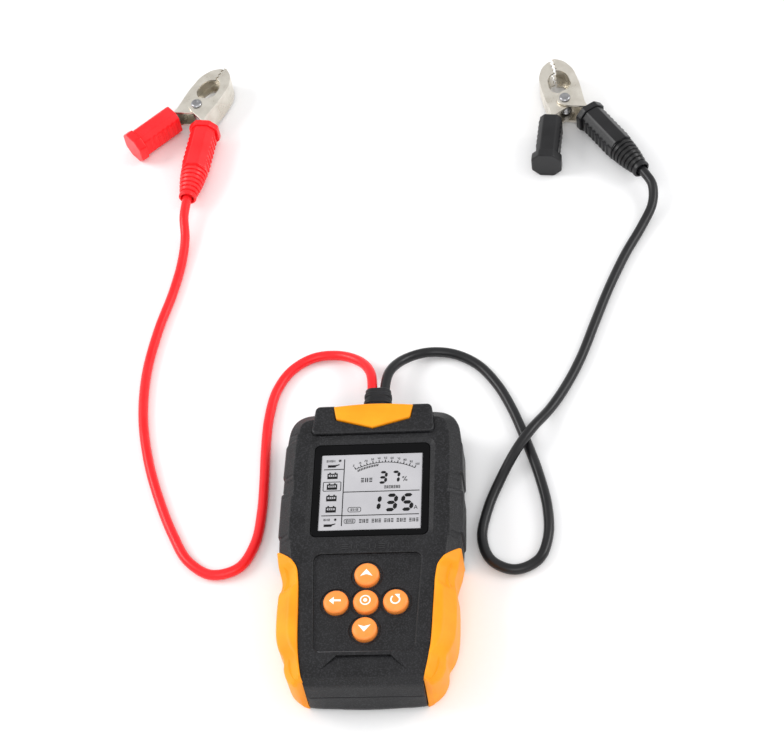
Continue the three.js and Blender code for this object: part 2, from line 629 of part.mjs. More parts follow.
const leadHandle = (low, high) => {
  const ridges = [];
  for (let ridge = 0; ridge < 6; ridge += 1) {
    ridges.push(sleeve(9 + ridge * 3.4, 10.5 + ridge * 3.4, 14.2, 3, CLAMP_HEIGHT - 3, 1));
  }
  const bore = turned([[0, 24], [LEAD_RADIUS + 0.4, 24], [LEAD_RADIUS + 0.4, 60], [0, 60]], 12);
  return cut(
    join(
      sleeve(2.5, 6, 16, 0, CLAMP_HEIGHT, 4.2),
      sleeve(5, 32.5, 13, 0.8, CLAMP_HEIGHT - 0.8, 3.4),
      ...ridges,
      onArm(turned(bootProfile(), BOOT.sides)),
    ),
    armPocket(low, high),
    onArm(bore),
  );
};

const FIXED_JAW = { low: 1.5, high: 15.5 };
const MOVING_JAW = { low: 3, high: 14 };

// Turns a half that was drawn for the +Y side over to the -Y side.
const overturned = (solid) => held(freed(solid).rotateX(Math.PI).translate(0, 0, CLAMP_HEIGHT));

const clamp = (prefix, setting, plastic) => {
  const group = new THREE.Group();
  group.position.set(setting.x, setting.y, 0);
  group.rotation.z = setting.turn;
  const fixed = jawHalf(CLAMP_HEIGHT - FIXED_JAW.high, CLAMP_HEIGHT - FIXED_JAW.low);
  place(group, `${prefix}_fixed_jaw`, overturned(fixed), materials.nickel);
  place(group, `${prefix}_moving_jaw`, jawHalf(MOVING_JAW.low, MOVING_JAW.high), materials.nickel);
  place(group, `${prefix}_lead_handle`, overturned(leadHandle(FIXED_JAW.low, FIXED_JAW.high)), plastic);
  place(group, `${prefix}_free_handle`, freeHandle(MOVING_JAW.low, MOVING_JAW.high), plastic);
  place(group, `${prefix}_pivot_rivet`, turned([
    [0, 0.2], [2.4, 0.2], [3, 1.2], [1.5, 1.2], [1.5, 15.8], [3, 15.8], [2.4, 16.8], [0, 16.8],
  ], 16), materials.steel);
  const coil = cut(post(0, 0, 4.8, 12.2, 3.6, 18), post(0, 0, 0, 20, 1.9, 18));
  const leg = block(6.2, -4.3, 5.5, 6.5, 1, 1.2);
  const tail = block(3.2, -3.2, 5.5, 1.2, 3, 1.2);
  place(group, `${prefix}_clamp_spring`, join(coil, tail, leg), materials.steel);
  const crimp = cut(
    onArm(turned([[0, 26], [2.4, 26], [2.4, 35], [0, 35]], 14)),
    onArm(turned([[0, 29], [1.5, 29], [1.5, 40], [0, 40]], 12)),
  );
  place(group, `${prefix}_crimp_sleeve`, overturned(crimp), materials.steel);
  tester.add(group);
};

clamp('red', RED_CLAMP, materials.redPvc);
clamp('black', BLACK_CLAMP, materials.blackPvc);

export default tester;
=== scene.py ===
"""Looks of a handheld battery tester with two clamp leads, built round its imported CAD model.

The case lies on its back on a pale floor: +Z is out of the face and +Y is the end that the leads
leave. Lengths in the helpers are millimetres, and MM turns them into Blender's metres.
"""

import json
import math

import bmesh
import bpy
from mathutils import Matrix, Vector


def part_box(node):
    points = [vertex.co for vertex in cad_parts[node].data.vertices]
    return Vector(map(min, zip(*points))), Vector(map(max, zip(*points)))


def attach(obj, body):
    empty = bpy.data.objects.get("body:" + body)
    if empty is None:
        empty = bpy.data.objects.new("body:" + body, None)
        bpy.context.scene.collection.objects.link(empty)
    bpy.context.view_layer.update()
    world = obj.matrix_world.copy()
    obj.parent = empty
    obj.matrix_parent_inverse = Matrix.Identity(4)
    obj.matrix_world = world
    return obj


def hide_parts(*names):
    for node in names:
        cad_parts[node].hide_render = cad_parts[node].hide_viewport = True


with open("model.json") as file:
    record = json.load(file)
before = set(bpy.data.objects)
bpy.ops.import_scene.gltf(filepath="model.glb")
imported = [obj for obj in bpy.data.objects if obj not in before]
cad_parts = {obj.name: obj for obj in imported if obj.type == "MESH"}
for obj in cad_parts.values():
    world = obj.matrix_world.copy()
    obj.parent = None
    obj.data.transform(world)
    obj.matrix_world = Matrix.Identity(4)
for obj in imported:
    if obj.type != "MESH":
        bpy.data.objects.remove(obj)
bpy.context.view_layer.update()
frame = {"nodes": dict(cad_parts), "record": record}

MM = 0.001
nodes = frame["nodes"]
scene = bpy.context.scene


def new_piece(name, data):
    piece = bpy.data.objects.new(name, data)
    scene.collection.objects.link(piece)
    return piece


# ---------------------------------------------------------------- camera

CAMERA_AIM = Vector((0.0046, 0.102, 0.0))
CAMERA_DISTANCE = 0.9834
CAMERA_AZIMUTH = math.radians(11.27)
CAMERA_ELEVATION = math.radians(55.8)
CAMERA_ROLL = math.radians(-11.4)
CAMERA_LENS = 89.5
CAMERA_SENSOR = 36


def make_camera():
    back = Vector((
        math.sin(CAMERA_AZIMUTH) * math.cos(CAMERA_ELEVATION),
        -math.cos(CAMERA_AZIMUTH) * math.cos(CAMERA_ELEVATION),
        math.sin(CAMERA_ELEVATION),
    ))
    right = Vector((math.cos(CAMERA_AZIMUTH), math.sin(CAMERA_AZIMUTH), 0))
    up = back.cross(right)
    right, up = (
        right * math.cos(CAMERA_ROLL) + up * math.sin(CAMERA_ROLL),
        up * math.cos(CAMERA_ROLL) - right * math.sin(CAMERA_ROLL),
    )
    data = bpy.data.cameras.new("camera")
    data.sensor_width = CAMERA_SENSOR
    data.lens = CAMERA_LENS
    camera = new_piece("camera", data)
    turn = Matrix((right, up, back)).transposed().to_4x4()
    camera.matrix_world = Matrix.Translation(CAMERA_AIM + back * CAMERA_DISTANCE) @ turn
    scene.camera = camera


make_camera()


# ---------------------------------------------------------------- leads

LEAD_DIAMETER = 0.005
ROUTE_STEPS = 10
# The routes of part.mjs, in metres: straight out of the gland, down to the floor and on to the boot.
RED_ROUTE = [
    (-0.0032, 0.0798, 0.013), (-0.0033, 0.087, 0.0128), (-0.005, 0.096, 0.0108),
    (-0.011, 0.105, 0.007), (-0.022, 0.111, 0.004), (-0.035, 0.111, 0.0028),
    (-0.046, 0.104, 0.00262), (-0.053, 0.092, 0.00262), (-0.056, 0.076, 0.00262),
    (-0.0565, 0.058, 0.00262), (-0.056, 0.040, 0.00262), (-0.056, 0.022, 0.00262),
    (-0.058, 0.005, 0.00262), (-0.065, -0.008, 0.00262), (-0.078, -0.0115, 0.00262),
    (-0.090, -0.004, 0.00262), (-0.099, 0.011, 0.00262), (-0.107, 0.029, 0.00262),
    (-0.115, 0.052, 0.00262), (-0.1205, 0.078, 0.00262), (-0.1215, 0.105, 0.00262),
    (-0.118, 0.132, 0.00262), (-0.1125, 0.156, 0.00262), (-0.1095, 0.176, 0.003),
    (-0.1088, 0.190, 0.0048), (-0.110, 0.202, 0.0074), (-0.1094, 0.2109, 0.0085),
    (-0.1087, 0.2169, 0.0085),
]
BLACK_ROUTE = [
    (0.0032, 0.0798, 0.013), (0.0033, 0.087, 0.0128), (0.005, 0.096, 0.0108),
    (0.011, 0.105, 0.007), (0.0225, 0.111, 0.004), (0.0355, 0.1105, 0.0028),
    (0.048, 0.1035, 0.00262), (0.058, 0.091, 0.00262), (0.0655, 0.076, 0.00262),
    (0.072, 0.058, 0.00262), (0.078, 0.039, 0.00262), (0.082, 0.020, 0.00262),
    (0.082, 0.004, 0.00262), (0.0775, -0.0075, 0.00262), (0.0665, -0.0125, 0.00262),
    (0.0555, -0.0075, 0.00262), (0.051, 0.004, 0.00262), (0.0535, 0.020, 0.00262),
    (0.060, 0.0365, 0.004), (0.068, 0.0505, 0.0079), (0.0755, 0.062, 0.0079),
    (0.084, 0.075, 0.004), (0.092, 0.089, 0.00262), (0.0995, 0.105, 0.00262),
    (0.107, 0.126, 0.00262), (0.115, 0.148, 0.00262), (0.124, 0.169, 0.00262),
    (0.133, 0.186, 0.0032), (0.139, 0.199, 0.0054), (0.1394, 0.2098, 0.0076),
    (0.136, 0.2167, 0.0085), (0.1327, 0.2217, 0.0085),
]


def smooth_line(points, steps, closed=False):
    """Points on a centripetal Catmull-Rom curve through the given ones."""
    given = [Vector(p) for p in points]
    count = len(given)

    def at(index):
        if closed:
            return given[index % count]
        if index < 0:
            return given[0] * 2 - given[1]
        if index >= count:
            return given[-1] * 2 - given[-2]
        return given[index]

    line = []
    for index in range(count if closed else count - 1):
        a, b, c, d = (at(index + k) for k in (-1, 0, 1, 2))
        before, span, after = ((q - p).length ** 0.5 for p, q in ((a, b), (b, c), (c, d)))
        start = ((b - a) / before - (c - a) / (before + span) + (c - b) / span) * span
        end = ((c - b) / span - (d - b) / (span + after) + (d - c) / after) * span
        for step in range(steps):
            t = step / steps
            line.append(
                b + start * t
                + (b * -3 + c * 3 - start * 2 - end) * t ** 2
                + (b * 2 - c * 2 + start + end) * t ** 3
            )
    if not closed:
        line.append(given[-1])
    return line


def length_of(line):
    return sum((q - p).length for p, q in zip(line, line[1:]))


def tube(name, line, radius, roundness):
    """A round mesh with closed ends along a line, in metres."""
    curve = bpy.data.curves.new(f"{name}_line", "CURVE")
    curve.dimensions = "3D"
    curve.bevel_depth = radius
    curve.bevel_resolution = roundness
    curve.use_fill_caps = True
    spline = curve.splines.new("POLY")
    spline.points.add(len(line) - 1)
    for point, place in zip(spline.points, line):
        point.co = (*place, 1)
    drawn = bpy.data.objects.new("drawn", curve)
    piece = new_piece(name, bpy.data.meshes.new_from_object(drawn))
    bpy.data.objects.remove(drawn)
    return piece


def make_lead(colour, route):
    line = smooth_line(route, ROUTE_STEPS)
    lead = tube(f"{colour}_test_lead", line, LEAD_DIAMETER / 2, 6)
    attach(lead, "root")
    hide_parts(f"{colour}_lead")
    return lead, line


red_lead, red_line = make_lead("red", RED_ROUTE)
black_lead, black_line = make_lead("black", BLACK_ROUTE)


# ---------------------------------------------------------------- materials

def linear(code):
    """A colour as the shader takes it, from its usual six-figure code."""
    parts = [int(code[k:k + 2], 16) / 255 for k in (0, 2, 4)]
    return tuple(c / 12.92 if c <= 0.04045 else ((c + 0.055) / 1.055) ** 2.4 for c in parts) + (1,)


def surface(name, light, dark, roughness, patch, grain, bump, depth=0.00004, metallic=0.0, coat=0.0,
            edge=None, edge_from=0.53, spread=0.06, specular=0.5, fleck=None):
    """A moulded or plated finish: patchy colour, a fine grain in relief, and lighter edges, partly wear and
    partly a painted highlight.

    patch and grain are how many patches and grains a metre has, bump and depth how strong and how high
    the relief is, spread how far the roughness varies, edge_from the pointiness at which the lighter edge,
    wear and painted highlight, begins.
    """
    material = bpy.data.materials.new(name)
    material.use_nodes = True
    tree = material.node_tree
    shader = tree.nodes["Principled BSDF"]
    shader.inputs["Metallic"].default_value = metallic
    shader.inputs["Specular IOR Level"].default_value = specular
    shader.inputs["Coat Weight"].default_value = coat
    shader.inputs["Coat Roughness"].default_value = 0.12
    place = tree.nodes.new("ShaderNodeTexCoord").outputs["Object"]

    def noise(scale, detail):
        node = tree.nodes.new("ShaderNodeTexNoise")
        node.inputs["Scale"].default_value = scale
        node.inputs["Detail"].default_value = detail
        tree.links.new(place, node.inputs["Vector"])
        return node.outputs["Fac"]

    def mixed(factor, first, second):
        node = tree.nodes.new("ShaderNodeMix")
        node.data_type = "RGBA"
        tree.links.new(factor, node.inputs["Factor"])
        for socket, value in ((node.inputs["A"], first), (node.inputs["B"], second)):
            if isinstance(value, tuple):
                socket.default_value = value
            else:
                tree.links.new(value, socket)
        return node.outputs["Result"]

    def times(first, second):
        node = tree.nodes.new("ShaderNodeMath")
        node.operation = "MULTIPLY"
        tree.links.new(first, node.inputs[0])
        tree.links.new(second, node.inputs[1])
        return node.outputs["Value"]

    def between(value, low, high, to_low, to_high):
        node = tree.nodes.new("ShaderNodeMapRange")
        for key, number in (("From Min", low), ("From Max", high), ("To Min", to_low), ("To Max", to_high)):
            node.inputs[key].default_value = number
        tree.links.new(value, node.inputs["Value"])
        return node.outputs["Result"]

    patches = noise(patch, 4.0)
    speckle = noise(grain, 3.0)
    colour = mixed(between(patches, 0.35, 0.65, 0, 1), linear(dark), linear(light))
    colour = mixed(between(speckle, 0.35, 0.7, 0, 0.35), colour, linear(dark))
    if fleck:
        colour = mixed(between(noise(grain * 1.1, 2.0), 0.5, 0.62, 0, 0.8), colour, linear(fleck))
    # Pointy edges are tinted lighter: partly wear, partly a painted highlight that stands in for light along
    # the edges.
    if edge:
        corner = tree.nodes.new("ShaderNodeNewGeometry").outputs["Pointiness"]
        wear_and_highlight = times(
            between(corner, edge_from, edge_from + 0.08, 0, 0.8), between(patches, 0.35, 0.7, 0.4, 1))
        # Pointiness belongs to vertices, so it would spread over the whole of a large flat face.
        broad_face = tree.nodes.new("ShaderNodeAttribute")
        broad_face.attribute_name = "broad_face"
        wear_and_highlight = times(wear_and_highlight, between(broad_face.outputs["Fac"], 0, 1, 1, 0))
        colour = mixed(wear_and_highlight, colour, linear(edge))
    tree.links.new(colour, shader.inputs["Base Color"])
    shine = between(patches, 0.3, 0.7, roughness - spread, roughness + spread)
    tree.links.new(shine, shader.inputs["Roughness"])
    relief = tree.nodes.new("ShaderNodeBump")
    relief.inputs["Strength"].default_value = bump
    relief.inputs["Distance"].default_value = depth
    tree.links.new(speckle, relief.inputs["Height"])
    tree.links.new(relief.outputs["Normal"], shader.inputs["Normal"])
    return material


# The light and the dark colour, roughness, patch, grain and bump of each slot, and what else it sets.
# Each edge colour lightens pointy edges: partly wear, partly a painted highlight, on the case mostly a
# painted highlight.
LOOKS = {
    "case_plastic": ("19191b", "0e0e10", 0.46, 70, 1500, 0.8, {
        "depth": 0.00012, "edge": "77777b", "edge_from": 0.535, "specular": 0.3, "fleck": "2c2c2f"}),
    "grip_rubber": ("ffa21a", "f79310", 0.46, 60, 1600, 0.12, {
        "edge": "ffbe44", "edge_from": 0.54, "specular": 0.25}),
    "button_plastic": ("ff9a4a", "fb9040", 0.4, 200, 2200, 0.08, {
        "edge": "ffb070", "edge_from": 0.55, "specular": 0.3}),
    "display_window": ("070709", "040405", 0.16, 40, 300, 0.02, {"spread": 0.02, "specular": 0.12}),
    "display_panel": ("b9b8bb", "afaeb2", 0.3, 50, 2500, 0.03, {"spread": 0.04, "specular": 0.25}),
    "display_ink": ("141416", "0c0c0e", 0.4, 200, 3000, 0.03, {"specular": 0.2}),
    "mark_white": ("fbfbf8", "f0efe9", 0.5, 400, 4000, 0.1, {}),
    "inner_white": ("e8e7e1", "dcdad2", 0.55, 90, 1500, 0.15, {}),
    "silicone": ("94979b", "85888c", 0.65, 90, 1500, 0.1, {}),
    "circuit_board": ("1f6a3b", "14492a", 0.35, 500, 1200, 0.3, {"coat": 0.3}),
    "component_black": ("222224", "171719", 0.5, 200, 1800, 0.3, {}),
    "resistor_body": ("e9e4d6", "d8d2c2", 0.8, 250, 1500, 0.5, {}),
    "aluminium": ("b9bbbe", "a3a5a8", 0.38, 200, 2600, 0.12, {"metallic": 1.0, "edge": "d8dadc"}),
    "steel": ("b2b2b4", "8f8f92", 0.3, 250, 2400, 0.12, {"metallic": 1.0, "edge": "dcdcde"}),
    "gland_rubber": ("222225", "161618", 0.5, 120, 1400, 0.2, {
        "edge": "4c4c50", "edge_from": 0.56, "specular": 0.3}),
    "jaw_nickel": ("ece7dd", "d8d2c6", 0.32, 130, 1800, 0.1, {
        "metallic": 1.0, "edge": "f0ebe0", "edge_from": 0.58, "spread": 0.08}),
    "pvc_red": ("fb2026", "ee141b", 0.34, 60, 900, 0.1, {
        "coat": 0.08, "edge": "ff5a55", "edge_from": 0.56, "specular": 0.35}),
    "pvc_black": ("1c1c1e", "111113", 0.36, 60, 900, 0.1, {
        "coat": 0.06, "edge": "4c4a48", "edge_from": 0.56, "specular": 0.35}),
}
finishes = {slot: surface(slot, *plain, **extra) for slot, (*plain, extra) in LOOKS.items()}
for row in frame["record"]["subparts"]:
    if row["node"] in nodes:
        holder = nodes[row["node"]].data.materials
        holder.clear()
        holder.append(finishes[row["material_slot"]])
for lead, colour in ((red_lead, "red"), (black_lead, "black")):
    lead.data.materials.append(finishes[f"pvc_{colour}"])


# ---------------------------------------------------------------- mesh helpers

MERGE = 0.0001 * MM


def solid(name, rings):
    """A closed mesh from rings of equal size, each a list of points in millimetres, capped at both ends."""
    count = len(rings[0])
    points = [Vector(p) * MM for ring in rings for p in ring]
    faces = [tuple(reversed(range(count)))]
    for row in range(len(rings) - 1):
        for k in range(count):
            a, b = row * count + k, row * count + (k + 1) % count
            faces.append((a, b, b + count, a + count))
    faces.append(tuple((len(rings) - 1) * count + k for k in range(count)))
    mesh = bpy.data.meshes.new(name)
    mesh.from_pydata([tuple(p) for p in points], [], faces)
    box = bmesh.new()
    box.from_mesh(mesh)
    bmesh.ops.remove_doubles(box, verts=box.verts, dist=MERGE)
    bmesh.ops.recalc_face_normals(box, faces=box.faces)
    box.to_mesh(mesh)
    box.free()
    return new_piece(name, mesh)


def evaluated(piece):
    """Replaces a piece's mesh by what its modifiers make of it."""
    bpy.context.view_layer.update()
    mesh = bpy.data.meshes.new_from_object(piece.evaluated_get(bpy.context.evaluated_depsgraph_get()))
    piece.modifiers.clear()
    piece.data = mesh
    return piece


def combine(piece, others, operation="DIFFERENCE"):
    """Cuts the others out of a piece, joins them to it, or keeps what they share."""
    for other in others:
        step = piece.modifiers.new("step", "BOOLEAN")
        step.operation = operation
        step.solver = "EXACT"
        step.object = other
        evaluated(piece)
        bpy.data.objects.remove(other)
    return piece


CLOSE = 0.004 * MM
LARGE_FLAT = 50 * MM ** 2
FLAT_TURN = math.radians(2)
EVEN_WEIGHT = 80


def shaded(piece, angle=32):
    """Smooth faces that meet in crisp lines only where they turn by more than an angle in degrees."""
    form = bmesh.new()
    form.from_mesh(piece.data)
    bmesh.ops.remove_doubles(form, verts=form.verts, dist=CLOSE)
    bmesh.ops.dissolve_degenerate(form, edges=form.edges, dist=CLOSE)
    limit = math.radians(angle)
    for face in form.faces:
        face.smooth = True
    for edge in form.edges:
        turn = edge.calc_face_angle(0) if edge.is_manifold else 0
        beside_flat = max((face.calc_area() for face in edge.link_faces), default=0) > LARGE_FLAT
        edge.smooth = not (turn > limit or beside_flat and turn > FLAT_TURN)
    # Large flat faces are kept free of the lighter edge tint, the wear and painted highlight.
    broad_face = form.faces.layers.float.new("broad_face")
    for face in form.faces:
        face[broad_face] = 1 if face.calc_area() > LARGE_FLAT else 0
    form.to_mesh(piece.data)
    form.free()
    even = piece.modifiers.new("even", "WEIGHTED_NORMAL")
    even.keep_sharp = True
    even.weight = EVEN_WEIGHT
    return evaluated(piece)


def levelled(piece, height, within=0.03):
    """Makes every face that lies in a level plane at a height shade as level."""
    mesh = piece.data
    normals = [corner.vector.copy() for corner in mesh.corner_normals]
    for face in mesh.polygons:
        if all(abs(mesh.vertices[k].co.z - height * MM) < within * MM for k in face.vertices):
            for corner in face.loop_indices:
                normals[corner] = Vector((0, 0, 1))
    mesh.normals_split_custom_set(normals)
    return piece


def finished(piece, body, slot, replaced=()):
    """Gives a piece its finish, its body and the CAD nodes that it stands for."""
    piece.data.materials.clear()
    piece.data.materials.append(finishes[slot])
    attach(piece, body)
    if replaced:
        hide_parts(*replaced)
    return piece


def rounded_path(points, radius, steps=4):
    """A line of straight stretches whose inner corners are rounded."""
    given = [Vector(p) for p in points]
    line = [given[0]]
    for before, here, after in zip(given, given[1:], given[2:]):
        back, on = before - here, after - here
        reach = min(radius, back.length * 0.45, on.length * 0.45)
        start, end = here + back.normalized() * reach, here + on.normalized() * reach
        for step in range(steps + 1):
            t = step / steps
            line.append(start * (1 - t) ** 2 + here * (2 * t * (1 - t)) + end * t ** 2)
    line.append(given[-1])
    return line


def rounded_polygon(corners, radius, steps=8):
    """A closed outline with rounded corners, which runs clockwise if its corners do."""
    line = []
    count = len(corners)
    for index in range(count):
        before, here, after = (Vector(corners[(index + k) % count]) for k in (-1, 0, 1))
        back, on = before - here, after - here
        turn = back.angle(on)
        reach = min(radius / math.tan(turn / 2), back.length * 0.49, on.length * 0.49)
        start, end = here + back.normalized() * reach, here + on.normalized() * reach
        middle = here + (back.normalized() + on.normalized()).normalized() * (reach / math.cos(turn / 2))
        true_radius = (start - middle).length
        first, last = (start - middle), (end - middle)
        for step in range(steps + 1):
            t = step / steps
            along = (first * (1 - t) + last * t).normalized() * true_radius
            line.append(middle + along)
    return line


def rectangle(x, y, width, height):
    """The corners of a rectangle, clockwise."""
    right, top = width / 2, height / 2
    return [(x - right, y - top), (x - right, y + top), (x + right, y + top), (x + right, y - top)]


def rectangle_line(x, y, width, height):
    return [Vector(corner) for corner in rectangle(x, y, width, height)]


def arc(x, y, radius, turns):
    return [Vector((x + radius * math.cos(t), y + radius * math.sin(t))) for t in turns]


def circle(x, y, radius, sides):
    """A circle's points, clockwise."""
    return arc(x, y, radius, [-2 * math.pi * k / sides for k in range(sides)])


def inward(outline):
    """For each point of a clockwise outline, the direction that leads in, long enough to keep corners."""
    count = len(outline)
    normals = []
    for index, here in enumerate(outline):
        into = (here - outline[index - 1]).normalized()
        out = (outline[(index + 1) % count] - here).normalized()
        normal = Vector((into.y + out.y, -into.x - out.x)).normalized()
        normals.append(normal / max(0.5, normal.dot(Vector((into.y, -into.x)))))
    return normals


def stacked(name, outline, levels):
    """A closed body whose outline is moved inwards by a distance at each height."""
    ways = inward(outline)
    return solid(name, [
        [(*(point + way * distance), height) for point, way in zip(outline, ways)]
        for distance, height in levels
    ])


def resampled(outline, spacing):
    """A closed outline again, with its points an even distance apart."""
    closed = [*outline, outline[0]]
    total = length_of(closed)
    count = round(total / spacing)
    line, done, index = [], 0.0, 0
    for k in range(count):
        at = total * k / count
        while done + (closed[index + 1] - closed[index]).length < at:
            done += (closed[index + 1] - closed[index]).length
            index += 1
        share = (at - done) / max((closed[index + 1] - closed[index]).length, 1e-9)
        line.append(closed[index].lerp(closed[index + 1], share))
    return line


def step_between(value, low, high):
    """0 below low, 1 above high, and an even rise between them."""
    t = min(1.0, max(0.0, (value - low) / (high - low)))
    return t * t * (3 - 2 * t)


# ---------------------------------------------------------------- case

CASE_TOP = 65.3
CASE_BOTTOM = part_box("rear_shell")[0].y / MM - 0.7
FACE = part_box("front_shell")[1].z / MM
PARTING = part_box("rear_shell")[1].z / MM
JOINT_GAP = 0.3
SIDE_RELIEF = 0.7
END_LEAN = 4 / FACE
CAVITY = {"inset": 5.4, "low": 4.4, "high": 23.6}
# Heights well below and well above the case, where cuts begin and end.
BELOW, ABOVE = -5, 40
# A height in the cavity, from which the openings in the face are cut.
WITHIN = 10

# The right half of the plan, from the top end to the bottom end.
CASE_HALF = [
    (0, 65.3), (15, 65.25), (29, 65), (34.5, 64), (38.6, 61.4), (41, 57.6), (42.2, 52.5),
    (43, 34), (43.5, 12), (43.3, -9), (42.2, -18), (40, -27.5), (41.1, -34), (40.9, -55),
    (39.1, -61.5), (36.9, -65.5), (36.6, -71), (33.8, -76.8), (28, -80.7), (14, -82), (0, -82.5),
]


def case_plan(spacing=0.9):
    left = [(-x, y) for x, y in reversed(CASE_HALF) if x > 0]
    smooth = [Vector(p[:2]) for p in smooth_line([(x, y, 0) for x, y in CASE_HALF + left], 8, closed=True)]
    return resampled(smooth, spacing)


# Where the two raised rails of each side end, and how far each end slants on its way to the face.
RAIL_ENDS = [(-2.7, -0.7, 1), (20.1, -0.63, -1), (29.5, -0.63, 1), (46.2, 0.87, -1)]
RAIL_NOTCH = {"half": 0.75, "depth": 0.4}


def rail_relief(y, distance):
    """How far the side lies inside the plan: nothing on the rails, and a notch at each of their ends."""
    raised, notch = 0.0, 0.0
    for end, slant, way in RAIL_ENDS:
        off = (y - end - slant * distance) * way
        raised += way * step_between(off * way, -0.4, 0.4)
        notch += max(0.0, 1 - abs(off + RAIL_NOTCH["half"]) / RAIL_NOTCH["half"])
    return SIDE_RELIEF * (1 - raised) + RAIL_NOTCH["depth"] * notch


def skin_plan():
    """The case's plan with its points closer together beside the rails."""
    fine = case_plan(0.45)
    return [p for k, p in enumerate(fine) if k % 2 == 0 or (abs(p.x) > 36 and -12 < p.y < 54)]


# The chamfer round the face shrinks to a part of its width on the way to the bottom end.
LOW_END = {"from": 70, "to": 80, "part": 0.28}
EDGE_BREAK = 0.35


def case_body(name, levels):
    """The case's skin between the levels, each a distance inwards and a height."""
    plan = skin_plan()
    ways = inward(plan)
    rings = []
    for distance, height in levels:
        ring = []
        end = CASE_BOTTOM + END_LEAN * height + distance * LOW_END["part"]
        for point, way in zip(plan, ways):
            low_end = step_between(-point.y, LOW_END["from"], LOW_END["to"])
            inset = distance * (1 - (1 - LOW_END["part"]) * low_end) + rail_relief(point.y, distance)
            moved = point + way * inset
            ring.append((moved.x, max(moved.y, end), height))
        rings.append(ring)
    return solid(name, rings)


def face_profile(low, high):
    """From the parting line up the side, over the wide chamfer and onto the face."""
    return rounded_path([
        (EDGE_BREAK, low), (0, low + EDGE_BREAK), (0, high - 5), (6, high), (7.2, high),
    ], 1.7, 5)


GRIP_EDGE = [
    (48, -5.2), (41.6, -11.6), (36.2, -16.4), (32.6, -21), (31.3, -28), (30.6, -40), (29.9, -58),
    (28.9, -68), (27.3, -77), (24.6, -90),
]


def grip_edge(steps):
    return [Vector(p[:2]) for p in smooth_line([(x, y, 0) for x, y in GRIP_EDGE], steps)]


def mirrored(outline, side):
    """The outline itself for the right side, or its mirror image, clockwise either way."""
    return outline if side > 0 else [Vector((-p.x, p.y)) for p in reversed(outline)]


def prism(name, outline, low=BELOW, high=ABOVE, inset=0):
    """An upright body between two heights."""
    return stacked(name, outline, [(inset, low), (inset, high)])


GRIP_CORE = {"inset": 3.0, "low": 2.6, "high": 24.7}


def grip_pocket(side):
    """The room that a grip takes: all that is outboard of its edge, less the core that it wraps."""
    far = 70
    outer = [Vector((far, GRIP_EDGE[-1][1])), Vector((far, GRIP_EDGE[0][1]))]
    plan = mirrored(list(reversed(outer + grip_edge(6))), side)
    return combine(prism("pocket", plan, -20, 60), [prism("core", case_plan(1.6), **GRIP_CORE)])


def cavity(low, high):
    return prism("cavity", case_plan(1.8), low, high, CAVITY["inset"])


def flare(low, high, foot=0.3, lip=0.45):
    """A recess's levels from its floor to above the face, with a fillet at the foot and a round lip."""
    return [
        (foot, low), (foot * 0.3, low + foot * 0.3), (0, low + foot), (0, high - lip),
        (-lip * 0.12, high - lip * 0.5), (-lip * 0.4, high - lip * 0.18), (-lip, high + lip * 0.04),
        (-lip, high + 9),
    ]


LENS_LOW, LENS_HIGH = (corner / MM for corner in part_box("display_lens"))
LENS = {
    "y": (LENS_LOW.y + LENS_HIGH.y) / 2, "width": LENS_HIGH.x - LENS_LOW.x,
    "height": LENS_HIGH.y - LENS_LOW.y, "top": LENS_HIGH.z, "bottom": LENS_LOW.z,
}
PANEL_LOW, PANEL_HIGH = (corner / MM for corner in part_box("display_panel"))
SCREEN = {"y": (PANEL_LOW.y + PANEL_HIGH.y) / 2, "width": 48.6, "height": 41.4, "top": PANEL_HIGH.z}
WINDOW = {"width": 51.2, "height": 44.2}
DISH_SLOPE = 2.6
BUTTONS = ["button_up", "button_enter", "button_down", "button_escape", "button_reset"]
KEYPAD = {"top": -14.9, "bottom": -64.2, "top_half": 25.2, "bottom_half": 22.8, "radius": 3.5, "depth": 1.4}
WELL = {"radius": 7.3, "depth": 0.6, "hole": 6.1, "step": 0.011}
CHIN = {"top": -66.3, "bottom": -73.5, "top_half": 12.2, "bottom_half": 19.6, "depth": 1.2}
COVER = {"bottom": 49.4, "top": 65, "top_half": 28, "bottom_half": 29.9, "radius": 2.6, "base": 26.3,
         "crown": 28.8, "lip_start": 61.3, "lip_low": 19}


def middle_of(node):
    low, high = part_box(node)
    return (low + high) / 2 / MM


def lens_outline(grow, radius):
    size = (LENS["width"] + 2 * grow, LENS["height"] + 2 * grow)
    return rounded_polygon(rectangle(0, LENS["y"], *size), radius)


def screen_cuts():
    """The sloped dish round the lens, the lens's seat and the window under it."""
    dish = stacked("dish", lens_outline(DISH_SLOPE, 4.5), rounded_path([
        (DISH_SLOPE - 0.3, LENS["top"]), (0.3, FACE - 0.15), (-0.4, FACE + 0.15), (-0.4, FACE + 9),
    ], 0.5))
    window = rounded_polygon(rectangle(0, SCREEN["y"], WINDOW["width"], WINDOW["height"]), 0.8, 3)
    return [
        dish, prism("seat", lens_outline(JOINT_GAP, 3), LENS["bottom"] - JOINT_GAP),
        prism("window", window, WITHIN),
    ]


def tapered(size):
    """A rounded outline that is narrower at one end."""
    return rounded_polygon([
        (-size["bottom_half"], size["bottom"]), (-size["top_half"], size["top"]),
        (size["top_half"], size["top"]), (size["bottom_half"], size["bottom"]),
    ], size["radius"])


def keypad_cuts():
    floor = FACE - KEYPAD["depth"]
    cuts = [stacked("pad", tapered(KEYPAD), flare(floor, FACE, lip=0.6))]
    for order, button in enumerate(BUTTONS):
        place = middle_of(button)
        # The wells run into each other, so each is a hair deeper than the last.
        deeper = order * WELL["step"]
        well = circle(place.x, place.y, WELL["radius"] + deeper, 56)
        cuts.append(stacked("well", well, flare(floor - WELL["depth"] - deeper, floor + deeper, 0.15, 0.3)))
        cuts.append(prism("hole", circle(place.x, place.y, WELL["hole"], 56), WITHIN))
    return cuts


